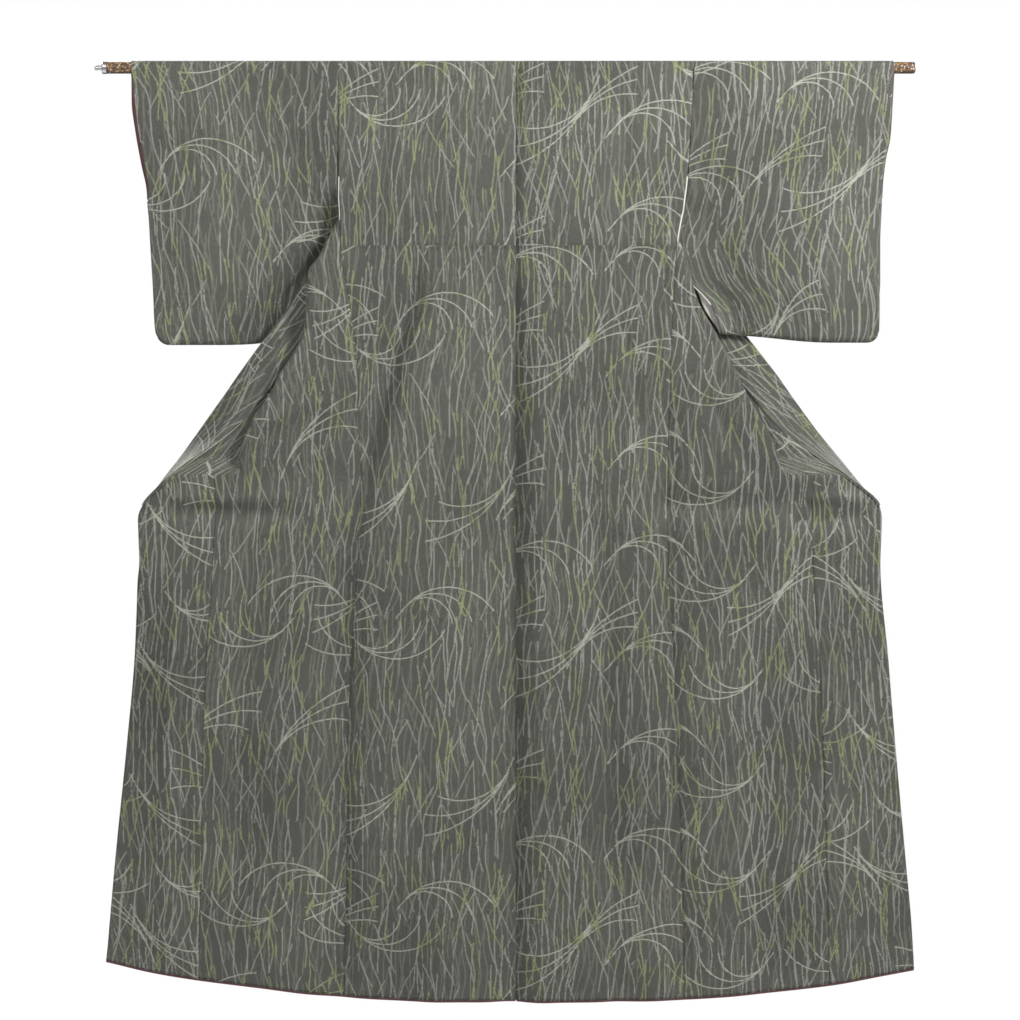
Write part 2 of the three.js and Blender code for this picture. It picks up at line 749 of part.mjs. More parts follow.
function alongX(profile) {
  const points = profile.map(([radius, x]) => new THREE.Vector2(radius, x));
  const geometry = new THREE.LatheGeometry(points, ROD_FACETS);
  geometry.rotateZ(-Math.PI / 2);
  return geometry;
}

function rod() {
  const r = ROD_RADIUS;
  return alongX([
    [0, ROD_LEFT_END],
    [r, ROD_LEFT_END],
    [r, ROD_RIGHT_END - 3],
    [r - 0.9, ROD_RIGHT_END - 0.9],
    [r - 3, ROD_RIGHT_END],
    [0, ROD_RIGHT_END],
  ]);
}

function ferrule() {
  const r = FERRULE_RADIUS;
  return alongX([
    [0, FERRULE_LEFT_END],
    [r - 1, FERRULE_LEFT_END],
    [r, FERRULE_LEFT_END + 1],
    [r, ROD_LEFT_END - SEAM_GAP],
    [0, ROD_LEFT_END - SEAM_GAP],
  ]);
}

function pin() {
  return alongX([
    [0, PIN_LEFT_END],
    [PIN_RADIUS - 0.8, PIN_LEFT_END],
    [PIN_RADIUS, PIN_LEFT_END + 0.8],
    [PIN_RADIUS, FERRULE_LEFT_END - SEAM_GAP],
    [0, FERRULE_LEFT_END - SEAM_GAP],
  ]);
}

// Colours of the pieces
const CLOTH = { color: 0x55574f, roughness: 0.85, metalness: 0 };
const DARK_LINING = { color: 0x6b4048, roughness: 0.8, metalness: 0 };
const WHITE_LINING = { color: 0xe6e2da, roughness: 0.8, metalness: 0 };
const PAINT = { color: 0x5a4030, roughness: 0.45, metalness: 0.2 };
const BRIGHT = { color: 0xb9b9bb, roughness: 0.3, metalness: 1 };

const kimono = new THREE.Group();
kimono.name = 'kimono_on_rod';

function piece(name, geometry, look) {
  const mesh = new THREE.Mesh(geometry, new THREE.MeshStandardMaterial(look));
  mesh.name = name;
  kimono.add(mesh);
}

piece('hanging_rod', rod(), PAINT);
piece('rod_end_ferrule', ferrule(), BRIGHT);
piece('rod_end_pin', pin(), BRIGHT);
for (const sideName of ['left', 'right']) {
  piece(`body_panel_${sideName}`, bodyPanel(sideName), CLOTH);
  piece(`sleeve_${sideName}`, sleeve(sideName), CLOTH);
  piece(`overlap_panel_${sideName}`, overlapPanel(sideName), CLOTH);
  piece(`hem_roll_${sideName}`, hemRoll(sideName), DARK_LINING);
  const cuffLining = sleeveStrip(sideName, [205, 160, 119, 56, 20], [0.94, 0.997], 1);
  piece(`cuff_lining_${sideName}`, cuffLining, DARK_LINING);
}
const armholeLining = sleeveStrip('right', [410, 376, 340, 298, 262, 228], [0.004, 0.1], 1);
piece('armhole_lining_right', armholeLining, WHITE_LINING);
piece('collar_band', collarBand(), CLOTH);

export default kimono;
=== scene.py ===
import math
import bpy
import numpy as np
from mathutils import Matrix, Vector


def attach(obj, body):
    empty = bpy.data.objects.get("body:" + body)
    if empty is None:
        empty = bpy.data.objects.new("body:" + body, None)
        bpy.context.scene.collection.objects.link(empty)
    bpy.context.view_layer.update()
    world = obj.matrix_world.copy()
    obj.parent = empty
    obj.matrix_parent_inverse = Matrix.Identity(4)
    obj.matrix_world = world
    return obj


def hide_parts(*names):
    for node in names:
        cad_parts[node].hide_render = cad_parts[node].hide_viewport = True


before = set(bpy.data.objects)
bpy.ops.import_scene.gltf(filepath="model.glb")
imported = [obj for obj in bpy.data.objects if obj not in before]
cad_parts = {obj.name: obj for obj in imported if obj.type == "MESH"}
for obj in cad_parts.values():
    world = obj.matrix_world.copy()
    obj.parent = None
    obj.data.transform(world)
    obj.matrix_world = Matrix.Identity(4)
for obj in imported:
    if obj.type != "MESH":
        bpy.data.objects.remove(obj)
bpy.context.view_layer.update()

# Hanging rod: a thin steel tube in brown speckled paint, pushed through both sleeves from cuff to cuff.
# Its left end is closed by a pressed, plated ferrule with a short pin.
def node_group(name, inputs, outputs):
    g = bpy.data.node_groups.new(name, "ShaderNodeTree")
    for label, kind, value in inputs:
        s = g.interface.new_socket(label, in_out="INPUT", socket_type="NodeSocket" + kind)
        if value is not None:
            s.default_value = value
    for label, kind in outputs:
        g.interface.new_socket(label, in_out="OUTPUT", socket_type="NodeSocket" + kind)
    return g, g.nodes.new("NodeGroupInput"), g.nodes.new("NodeGroupOutput")


def put(tree, kind, values=None, **settings):
    n = tree.nodes.new("ShaderNode" + kind)
    for k, v in settings.items():
        setattr(n, k, v)
    for k, v in (values or {}).items():
        if hasattr(v, "is_output"):
            tree.links.new(v, n.inputs[k])
        else:
            n.inputs[k].default_value = v
    return n


def calc(tree, op, *values):
    n = put(tree, "Math", dict(enumerate(values)), operation=op)
    return n.outputs[0]


def mixed(tree, factor, a, b):
    n = put(tree, "Mix", {0: factor, 6: a, 7: b}, data_type="RGBA")
    return n.outputs[2]


def noise(tree, at, scale, detail, dimensions="3D"):
    values = {"W" if dimensions == "1D" else "Vector": at, "Scale": scale, "Detail": detail}
    return put(tree, "TexNoise", values, noise_dimensions=dimensions).outputs[0]


def ranged(tree, value, from_low, from_high, low, high):
    return put(tree, "MapRange", {0: value, 1: from_low, 2: from_high, 3: low, 4: high}).outputs[0]


def new_material(name):
    m = bpy.data.materials.new(name)
    m.use_nodes = True
    tree = m.node_tree
    return m, tree, tree.nodes["Principled BSDF"]


def set_shader(shader, **values):
    for k, v in values.items():
        shader.inputs[k.replace("_", " ")].default_value = v


def roughen(tree, shader, height, strength, distance):
    bump = put(tree, "Bump", {"Height": height, "Strength": strength, "Distance": distance})
    tree.links.new(bump.outputs[0], shader.inputs["Normal"])


rod_paint, tree, shader = new_material("speckled_paint")
place = put(tree, "TexCoord").outputs["Object"]
grains = put(tree, "TexVoronoi", {"Vector": place, "Scale": 420.0})
patches = noise(tree, place, 120.0, 4.0)
pick = put(tree, "SeparateColor", {0: grains.outputs["Color"]}).outputs[0]
brown = mixed(tree, patches, (0.035, 0.016, 0.012, 1), (0.16, 0.09, 0.05, 1))
gold = mixed(tree, calc(tree, "GREATER_THAN", pick, 0.66), brown, (0.33, 0.19, 0.07, 1))
cream = mixed(tree, calc(tree, "GREATER_THAN", pick, 0.9), gold, (0.55, 0.47, 0.36, 1))
tree.links.new(cream, shader.inputs["Base Color"])
roughen(tree, shader, grains.outputs["Distance"], 0.2, 0.0003)
set_shader(shader, Roughness=0.42, Coat_Weight=0.2)

bright, tree, shader = new_material("bright_plating")
place = put(tree, "TexCoord").outputs["Object"]
drawn = put(tree, "Mapping", {0: place, 3: (900.0, 60.0, 60.0)}).outputs[0]
brushed = noise(tree, drawn, 1.0, 2.0)
tree.links.new(ranged(tree, brushed, 0.0, 1.0, 0.22, 0.38), shader.inputs["Roughness"])
tree.links.new(mixed(tree, brushed, (0.62, 0.62, 0.63, 1), (0.76, 0.76, 0.77, 1)), shader.inputs["Base Color"])
set_shader(shader, Metallic=1.0)

for node, material in (("hanging_rod", rod_paint), ("rod_end_ferrule", bright), ("rod_end_pin", bright)):
    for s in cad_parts[node].material_slots:
        s.material = material

# Body panels: one length of lined silk each, from the back hem over the rod to the front hem, cut open at
# the neck and sewn at mid back and down the sides. A tuck runs across the back below the shoulders, where
# the pattern steps. Sizes are in millimetres: "out" is the distance from mid back, "drop" that below the rod.
MM = 0.001
SHEET_THICK = 1.2
SEAM_GAP = 0.3
SHOULDER_HALF = 305
NECK_HALF = 88
ARMHOLE_DROP = 205
HEM_DROP = 1603
OVER_ROD = 11.4
TUCK_DROP = 306
TUCK_TAKE_UP = 96
OVERLAP_POINT_DROP = 397
PLEAT_END = (670.0, 700.0)
ORIENT = {"left": -1, "right": 1}


def table(names, rows):
    """Named columns of numbers, read at any value of the first column along a smooth curve."""
    data = np.array(rows, float)
    x = data[:, 0]
    out = {"x": x}
    for k, name in enumerate(names.split()):
        y = data[:, k]
        step = np.diff(x)
        rate = np.diff(y) / step
        slope = np.zeros(len(x))
        if len(x) > 2:
            same = rate[:-1] * rate[1:] > 0
            mean = 2 * rate[:-1] * rate[1:] / np.where(same, rate[:-1] + rate[1:], 1)
            slope[1:-1] = np.where(same, mean, 0)
        slope[0] = rate[0]
        slope[-1] = rate[-1]
        out[name] = (y, slope)
    return out


def read(t, name, at):
    x = t["x"]
    y, slope = t[name]
    at = np.clip(np.asarray(at, float), x[0], x[-1])
    k = np.clip(np.searchsorted(x, at, side="right") - 1, 0, len(x) - 2)
    h = x[k + 1] - x[k]
    s = (at - x[k]) / h
    return (
        (1 + 2 * s) * (1 - s) ** 2 * y[k]
        + s * (1 - s) ** 2 * h * slope[k]
        + s * s * (3 - 2 * s) * y[k + 1]
        + s * s * (s - 1) * h * slope[k + 1]
    )


def eased(share):
    s = np.clip(share, 0, 1)
    return s * s * (3 - 2 * s)


# Fronts, by drop: where the side seam, the folded edge and the collar seam lie, and how far the collar is
# turned back (1 is all the way round).
FRONT = {
    "left": table("drop side fold seam turn", [
        (205, 304.7, 304.7, 170, 1), (228, 304, 304, 188, 1), (251, 303, 304, 205, 1),
        (275, 302, 313, 222, 1), (298, 301.5, 326, 239, 1), (323, 301, 338, 257, 1),
        (349, 297, 356, 276, 1), (397, 288, 360, 312, 1), (448, 280, 364, 349, 1),
        (488, 275, 381, 379, 1), (527, 273, 406, 408, 1), (563, 272, 424, 436, 0.98),
        (600, 272, 450, 467, 0.92), (640, 271, 468, 512, 0.71), (670, 269, 476, 553, 0.44),
        (700, 268, 500, 592, 0.2), (728, 268, 506, 621, 0.08), (745, 268, 510, 637, 0.03),
        (774, 269, 515, 649, 0), (846, 273, 520, 647, 0), (885, 275, 520, 651, 0),
        (1018, 284, 520, 657, 0), (1176, 290, 525, 670, 0), (1393, 292, 537, 689, 0),
        (1535, 296, 545, 700, 0), (1603, 297, 546, 705, 0),
    ]),
    "right": table("drop side fold seam turn", [
        (205, 302.5, 302.5, 172, 1), (228, 294, 294, 175, 1), (251, 286, 287, 181.5, 1),
        (275, 281, 283, 194, 1), (298, 277, 282, 209, 1), (323, 275, 292, 226, 1),
        (349, 273, 298, 244, 1), (397, 270, 311, 278, 1), (448, 268, 339, 315, 1),
        (488, 266, 361, 346, 1), (527, 265, 380, 377, 1), (563, 264, 398, 408, 0.97),
        (600, 263, 418, 440, 0.9), (640, 262, 440, 486, 0.68), (670, 261, 450, 524, 0.5),
        (700, 261, 456, 565, 0.26), (728, 261, 461, 601, 0.08), (745, 261, 466, 621, 0.03),
        (774, 261, 480, 628, 0), (846, 262, 500, 626, 0), (1018, 272, 512, 640, 0),
        (1176, 279, 520, 652, 0), (1393, 285, 527, 669, 0), (1535, 289, 534, 680, 0),
        (1603, 290, 535, 683, 0),
    ]),
}
# Width of the front panel and of panel and overlap together, how far in they reach, and the collar's turn
FRONT_CLOTH = table("drop panel whole reach neck_turn", [
    (0, 216.7, 216.7, 88, 0), (22, 223.5, 223.5, 89, 0.08), (60, 230, 230, 91, 0.35),
    (110, 238, 238, 95, 0.7), (160, 245, 245, 104, 0.93), (205, 251, 251, 115, 1),
    (300, 258, 258, 115, 1), (380, 256, 257, 115, 1), (450, 253, 276, 115, 1),
    (550, 250, 309, 115, 1), (640, 254, 338, 115, 1), (670, 256, 347, 115, 1),
    (700, 250, 357, 115, 1), (745, 247, 375, 115, 1), (1603, 247, 400, 115, 1),
])
# Depth of the middle layer of the folded front, and the radius of its outer and inner bends
PLEAT = table("drop middle outer_roll inner_roll", [
    (0, 11.4, 0, 5), (60, 10.5, 0, 5), (205, 9, 0, 5), (228, 8.6, 3.5, 5), (251, 8.2, 6, 5), (298, 7, 8, 5),
    (450, 5, 7, 5), (600, 2.5, 6, 4.5), (670, 0, 5, 4.5), (700, -6.5, 0, 0), (1603, -8, 0, 0),
])
# The hem line, lower at mid back than at the front edges
HEM = {
    "left": table("out drop", [
        (0, 1603), (131, 1601), (237, 1597), (355, 1589), (434, 1579), (545, 1565), (631, 1551), (705, 1535),
    ]),
    "right": table("out drop", [
        (0, 1603), (131, 1602), (237, 1600), (355, 1594), (434, 1586), (545, 1573), (631, 1557), (690, 1546),
    ]),
}

# Folds and creases of the body cloth: width, depth towards the front, and the points (x, drop) of each
BODY_FOLDS = [
    (28, 19, [(-156, 306), (-172, 347), (-197, 418), (-224, 504), (-241, 586), (-262, 645), (-278, 724), (-300, 850),
              (-306, 1100), (-308, 1570)]),
    (13, 8, [(-166, 316), (-184, 418), (-208, 504), (-228, 586), (-248, 645), (-264, 724)]),
    (18, -6, [(-120, 330), (-152, 430), (-184, 540), (-210, 650), (-232, 760)]),
    (32, 20, [(-14, 330), (-13, 560), (-12, 900), (-10, 1300), (-12, 1590)]),
    (14, 7, [(0, 318), (1, 700), (2, 1200), (2, 1590)]),
    (20, 8, [(-334, 430), (-368, 520), (-392, 600)]),
    (22, -6, [(42, 420), (44, 800), (50, 1200), (46, 1590)]),
    (26, 14, [(254, 480), (254, 640), (258, 900), (276, 1560)]),
    (60, 18, [(-655, 820), (-672, 1100), (-700, 1560)]),
    (30, 8, [(-455, 700), (-470, 1000), (-480, 1540)]),
    (28, 10, [(130, 700), (150, 1000), (175, 1590)]),
    (34, -8, [(-120, 800), (-140, 1590)]),
    (28, 8, [(398, 760), (410, 1000), (430, 1560)]),
    (30, -8, [(520, 860), (545, 1200), (560, 1540)]),
    (28, 8, [(620, 800), (640, 1100), (655, 1540)]),
    (26, -6, [(-570, 860), (-590, 1150), (-600, 1540)]),
    (8, 5, [(-327, 585), (-402, 620), (-430, 637), (-458, 678)]),
    (11, -4.5, [(-335, 566), (-400, 596), (-440, 624), (-480, 664)]),
    (18, 10, [(-621, 766), (-540, 764), (-480, 768), (-354, 768)]),
    (11, -5, [(-600, 738), (-500, 742), (-400, 740)]),
    (4, 2.6, [(-497, 824), (-380, 808), (-237, 803), (-120, 806)]),
    (4, 2, [(-100, 812), (60, 806), (240, 812), (420, 806)]),
    (26, 11, [(205, 742), (300, 752), (420, 752), (560, 744)]),
    (10, -6, [(490, 742), (545, 738), (600, 744)]),
    (14, 8, [(462, 784), (545, 776), (610, 770)]),
    (11, 6, [(322, 560), (360, 620), (405, 690), (430, 730)]),
    (12, 5.5, [(176, 420), (200, 520), (218, 640)]),
    (16, 8, [(262, 330), (236, 420), (214, 520)]),
    (22, -5, [(90, 340), (100, 700), (110, 1100)]),
    (20, 5, [(-60, 340), (-70, 640), (-60, 900)]),
    (12, 4.5, [(-232, 60), (-225, 150), (-240, 270)]),
    (16, 4.5, [(180, 40), (188, 160), (176, 280)]),
    (14, 4, [(-560, 860), (-580, 1100), (-575, 1400)]),
]


def near_line(x, drop, points):
    """Distance to a line through points, and how far along it, both for arrays of places."""
    best = np.full(np.shape(x), 1e9)
    along = np.zeros(np.shape(x))
    total = sum(math.dist(a, b) for a, b in zip(points, points[1:]))
    start = 0.0
    for a, b in zip(points, points[1:]):
        length = math.dist(a, b)
        dx, dz = (b[0] - a[0]) / length, (b[1] - a[1]) / length
        run = (x - a[0]) * dx + (drop - a[1]) * dz
        clipped = np.clip(run, 0, length)
        away = np.hypot(x - a[0] - clipped * dx, drop - a[1] - clipped * dz)
        nearer = away < best
        best = np.where(nearer, away, best)
        along = np.where(nearer, (start + clipped) / total, along)
        start += length
    return best, along


# A fold that reaches below this drop runs out through the hem
OPEN_FOLD_DROP = 1300
# The hem's curve lifts the cloth from this drop down
HEM_EASE_DROP = 900


def fold_depth(x, drop):
    """How far all the body folds together move a place towards the front."""
    depth = np.zeros(np.shape(x))
    for width, deep, points in BODY_FOLDS:
        away, along = near_line(x, drop, points)
        ends = eased(along * 5 + 0.15) * (eased((1 - along) * 5 + 0.15) if points[-1][1] < OPEN_FOLD_DROP else 1)
        depth += deep * ends * np.exp(-((away / width) ** 2))
    return depth


def placed(side, out, depth, drop):
    """Final place of a body point: the hem's curve lifts it and the folds move it in depth."""
    x = ORIENT[side] * np.asarray(out, float)
    hem = read(HEM[side], "drop", out)
    low = eased((drop - HEM_EASE_DROP) / (HEM_DROP - HEM_EASE_DROP))
    real = drop - (HEM_DROP - hem) * low * (drop / HEM_DROP)
    return np.stack([x, depth + fold_depth(x, np.full(np.shape(x), float(drop))), -real], -1)


PEN_STEP = 1.5
ARC_STEPS = 16


def front_pen(side, drop):
    """Cross path of one front at one drop, from the side seam to the collar seam, with its fold places."""
    panel = float(read(FRONT_CLOTH, "panel", drop))
    whole = float(read(FRONT_CLOTH, "whole", drop))
    middle = float(read(PLEAT, "middle", drop))
    outer = float(read(PLEAT, "outer_roll", drop))
    inner = float(read(PLEAT, "inner_roll", drop))
    t = FRONT[side]
    pen = []

    def line(out, depth):
        a = pen[-1]
        n = max(1, round(math.dist(a, (out, depth)) / PEN_STEP))
        pen.extend((a[0] + (out - a[0]) * k / n, a[1] + (depth - a[1]) * k / n) for k in range(1, n + 1))

    def arc(out, depth, radius, start, stop):
        for k in range(1, ARC_STEPS + 1):
            a = start + (stop - start) * k / ARC_STEPS
            pen.append((out + radius * math.cos(a), depth + radius * math.sin(a)))

    def length():
        p = np.array(pen)
        return float(np.hypot(*np.diff(p, axis=0).T).sum()) if len(p) > 1 else 0.0

    if drop <= ARMHOLE_DROP:
        shoulder = SHOULDER_HALF - SEAM_GAP
        armhole = float(read(t, "side", ARMHOLE_DROP))
        pen.append((shoulder + (armhole - shoulder) * float(eased((drop - 150) / 55)), middle))
        reach = float(read(FRONT_CLOTH, "reach", drop))
        if drop < 1:
            line(NECK_HALF, middle)
            return pen, 0.0, 0.0, panel, whole
        turned = math.pi / 2 + math.asin(min(1.0, float(read(FRONT_CLOTH, "neck_turn", drop))))
        line(reach + inner, middle)
        reach_at = length()
        arc(reach + inner, middle + inner, inner, -math.pi / 2, -math.pi / 2 - turned)
        rest = max(1.0, whole - (shoulder - reach - inner) - turned * inner)
        line(pen[-1][0] - math.cos(turned) * rest, pen[-1][1] + math.sin(turned) * rest)
        return pen, 0.0, reach_at, panel, length()
    seam_side = float(read(t, "side", drop))
    fold = float(read(t, "fold", drop))
    seam = float(read(t, "seam", drop))
    spare = whole - (seam - seam_side) - 1.14 * (outer + inner)
    if drop >= PLEAT_END[1]:
        pen.append((seam_side, middle))
        line(seam, middle)
        return pen, fold - seam_side, fold - seam_side + 24, panel, seam - seam_side
    reach = fold - spare / 2
    outer = max(0.8, outer)
    centre = fold - outer
    start = math.pi / 2
    if centre <= seam_side:
        start = math.acos(min(1.0, (seam_side - centre) / outer))
        pen.append((centre + outer * math.cos(start), middle - outer - outer * math.sin(start)))
    else:
        pen.append((seam_side, middle - 2 * outer))
        line(centre, middle - 2 * outer)
    fold_at = length()
    arc(centre, middle - outer, outer, -start, math.pi / 2)
    fold_at = (fold_at + length()) / 2
    line(reach + inner, middle)
    reach_at = length()
    arc(reach + inner, middle + inner, inner, -math.pi / 2, -1.5 * math.pi)
    reach_at = (reach_at + length()) / 2
    line(seam, middle + 2 * inner)
    return pen, fold_at, reach_at, panel, length()


def spread(parts):
    """Stops from a list of (from, to, count), joined without doubles."""
    out = []
    for a, b, n in parts:
        out.extend(np.linspace(a, b, n, endpoint=False))
    out.append(parts[-1][1])
    return np.array(out)


def panel_stops(fold, reach, end):
    """Distances along a panel's cross path where it gets points, closer together round its two bends."""
    fold = min(max(fold, 20), end - 52)
    reach = min(max(reach, fold + 26), end - 17)
    return spread([
        (0, 5, 3), (5, fold - 12, 12), (fold - 12, fold + 12, 12), (fold + 12, reach - 12, 8),
        (reach - 12, reach + 12, 12), (reach + 12, end, 7),
    ])


def along(pen, stops):
    """Out and depth of the points at these distances along a cross path."""
    p = np.array(pen)
    s = np.concatenate([[0], np.cumsum(np.hypot(*np.diff(p, axis=0).T))])
    return np.interp(stops, s, p[:, 0]), np.interp(stops, s, p[:, 1])


def front_row(side, drop, part):
    """One row of a front: out, depth and cloth distance of its points. The pleat opens out at PLEAT_END."""
    if PLEAT_END[0] < drop < PLEAT_END[1]:
        a = front_row(side, PLEAT_END[0], part)
        b = front_row(side, PLEAT_END[1], part)
        mix = (drop - PLEAT_END[0]) / (PLEAT_END[1] - PLEAT_END[0])
        return tuple(p + (q - p) * mix for p, q in zip(a, b))
    pen, fold, reach, panel, total = front_pen(side, drop)
    if part == "overlap":
        begin = min(panel, total - 2) + SEAM_GAP / 2
        close = begin + min(24, (total - begin) * 0.4)
        stops = spread([(begin, close, 8), (close, total, 24)])
    else:
        joined = drop >= OVERLAP_POINT_DROP
        end = min(panel if joined else total, total)
        stops = panel_stops(fold, reach, end - (SEAM_GAP / 2 if joined else 0))
    out, depth = along(pen, stops)
    return out, depth, stops


def back_depth(side, out, drop):
    """Depth of the back's cloth, which comes forward beside the side seam to meet the front."""
    if drop <= ARMHOLE_DROP:
        return np.full(np.shape(out), -OVER_ROD)
    seam = float(read(FRONT[side], "side", drop))
    middle = float(read(PLEAT, "middle", drop))
    roll = float(read(PLEAT, "outer_roll", drop))
    near = eased((out - seam + 60) / 60)
    return -OVER_ROD + near * (max(middle - 2 * roll, -OVER_ROD) + OVER_ROD) * float(eased((drop - 228) / 70))


# Where the back meets the sleeve, and below it the side edge of the armhole
SLEEVE_SEAM = {
    "left": table("drop out", [(0, 305), (250, 304), (300, 400), (1603, 400)]),
    "right": table("drop out", [(0, 305), (56, 302.5), (119, 298.5), (160, 296), (205, 292), (228, 289), (262, 285),
                                (298, 281), (340, 400), (1603, 400)]),
}


def back_side(side, drop):
    """How far out the back reaches."""
    at_sleeve = float(read(SLEEVE_SEAM[side], "out", drop)) - SEAM_GAP
    at_front = float(read(FRONT[side], "side", max(drop, ARMHOLE_DROP)))
    return min(at_sleeve, at_front - SEAM_GAP * 2 * float(eased((drop - ARMHOLE_DROP) / 40)))


DIP_DEEP = 1.1
DIP_WIDE = 3.0


def seam_dip(distance):
    """How far the cloth is drawn in beside a seam."""
    return DIP_DEEP * np.exp(-((distance / DIP_WIDE) ** 2))


def quads_of(rows, cols, flip, wrap=False, skip=()):
    """Faces of a sheet of rows times cols points, each with its place; wrap joins the last row to the first."""
    out = []
    for i in range(rows if wrap else rows - 1):
        up = (i + 1) % rows
        for j in range(cols - 1):
            if (i, j) in skip:
                continue
            q = [i * cols + j, i * cols + j + 1, up * cols + j + 1, up * cols + j]
            out.append((i, j, q[::-1] if flip else q))
    return out


def in_scene(name, data):
    obj = bpy.data.objects.new(name, data)
    bpy.context.scene.collection.objects.link(obj)
    return obj


def make_piece(name, points, faces, weave, materials, thick=SHEET_THICK, rim=0):
    """points in mm, weave as one (across, along) pair in mm per face corner, rim 1 for edges in lining."""
    mesh = bpy.data.meshes.new(name)
    mesh.from_pydata([tuple(p * MM) for p in points], [], faces)
    uv = mesh.uv_layers.new(name="weave")
    uv.data.foreach_set("uv", (np.array(weave, float).reshape(-1, 2) * MM).ravel())
    for m in materials:
        mesh.materials.append(m)
    mesh.polygons.foreach_set("use_smooth", [True] * len(mesh.polygons))
    obj = in_scene(name, mesh)
    if thick:
        wall = obj.modifiers.new("thickness", "SOLIDIFY")
        wall.thickness = thick * MM
        wall.offset = 0
        wall.use_even_offset = False
        if len(materials) > 1:
            wall.material_offset = 1
            wall.material_offset_rim = rim
    mesh.update()
    return obj


def vector(tree, op, a, b=None, c=None, scale=None):
    n = put(tree, "VectorMath", {0: a}, operation=op)
    for k, v in ((1, b), (2, c), ("Scale", scale)):
        if hasattr(v, "is_output"):
            tree.links.new(v, n.inputs[k])
        elif v is not None:
            n.inputs[k].default_value = v
    return n.outputs[0]


def use_group(tree, group, values=None):
    return put(tree, "Group", values, node_tree=group)


# The woven lattice: pale marks in rows, each row half a step beside the last. Puts out the middle of the
# mark that a point is in, and where in the mark the point is.
MARK_STEP = 2.2
MARK_ROW = 1.1
g, gi, go = node_group("woven_lattice", [("Cloth", "Vector", None)], [
    ("Mark", "Vector"), ("Inside across", "Float"), ("Inside along", "Float"),
])
steps = vector(g, "MULTIPLY", gi.outputs[0], (1000 / MARK_STEP, 1000 / MARK_ROW, 0))
cut = put(g, "SeparateXYZ", {0: steps})
row = calc(g, "FLOOR", cut.outputs[1])
half = calc(g, "MULTIPLY", calc(g, "PINGPONG", row, 1.0), 0.5)
place = calc(g, "ADD", cut.outputs[0], half)
middle = put(g, "CombineXYZ", {0: calc(g, "SUBTRACT", calc(g, "FLOOR", place), half), 1: row}).outputs[0]
middle = vector(g, "MULTIPLY_ADD", middle, (MARK_STEP, MARK_ROW, 0), (MARK_STEP / 2, MARK_ROW / 2, 0))
g.links.new(middle, go.inputs[0])
g.links.new(calc(g, "SUBTRACT", calc(g, "FRACT", place), 0.5), go.inputs[1])
g.links.new(calc(g, "SUBTRACT", calc(g, "FRACT", cut.outputs[1]), 0.5), go.inputs[2])
LATTICE = g

# Grass strands: near-upright wandering lines, broken here and there, each with its own shade number.
LINE_HALF = 1.0
WAVE_ACROSS = 260
KINK = 9.0
KINK_LENGTH = 75
BREAK_LENGTH = 95


def strands(tree, mark, pitch, wander, length, lean, seed, cover):
    """Mask and shade number of lines a pitch apart, which wander over a length, lean, and cover that share."""
    cut = put(tree, "SeparateXYZ", {0: mark})
    at = vector(tree, "MULTIPLY_ADD", mark, (1 / WAVE_ACROSS, 1 / length, 0), (seed * 7.7, seed * 3.1, 0))
    wave = noise(tree, at, 1.0, 1.0, "2D")
    moved = calc(tree, "MULTIPLY_ADD", cut.outputs[0], 1 / pitch, seed * 0.37)
    moved = calc(tree, "MULTIPLY_ADD", wave, wander * 4 / pitch, moved)
    moved = calc(tree, "MULTIPLY_ADD", cut.outputs[1], lean / pitch, moved)
    number = calc(tree, "FLOOR", moved)
    picked = calc(tree, "ADD", number, seed * 61.0)
    own = put(tree, "TexWhiteNoise", {"W": picked}, noise_dimensions="1D").outputs[0]
    at = calc(tree, "MULTIPLY_ADD", cut.outputs[1], 1 / KINK_LENGTH, seed * 411.3)
    kink = noise(tree, calc(tree, "MULTIPLY_ADD", number, 53.7, at), 1.0, 1.0, "1D")
    kinked = calc(tree, "MULTIPLY_ADD", kink, KINK / pitch, 0.27 - KINK / 2 / pitch)
    middle = calc(tree, "MULTIPLY_ADD", own, 0.46, kinked)
    near = calc(tree, "COMPARE", calc(tree, "FRACT", moved), middle, LINE_HALF / pitch)
    at = calc(tree, "MULTIPLY_ADD", cut.outputs[1], 1 / BREAK_LENGTH, seed * 97.0)
    gap = noise(tree, calc(tree, "MULTIPLY_ADD", number, 91.3, at), 1.0, 0.0, "1D")
    return calc(tree, "MULTIPLY", near, calc(tree, "GREATER_THAN", gap, 0.75 - cover * 0.5)), own


# Bent grass: a straight stem, then three lines that leave its end together and part as they curl over, each
# on a rounder bend than the last. One group grows in each cell of a staggered net, whose cells fit a whole
# number of times into the length after which the pattern repeats.
REPEAT = 505
BEND_RATIO = 1.45


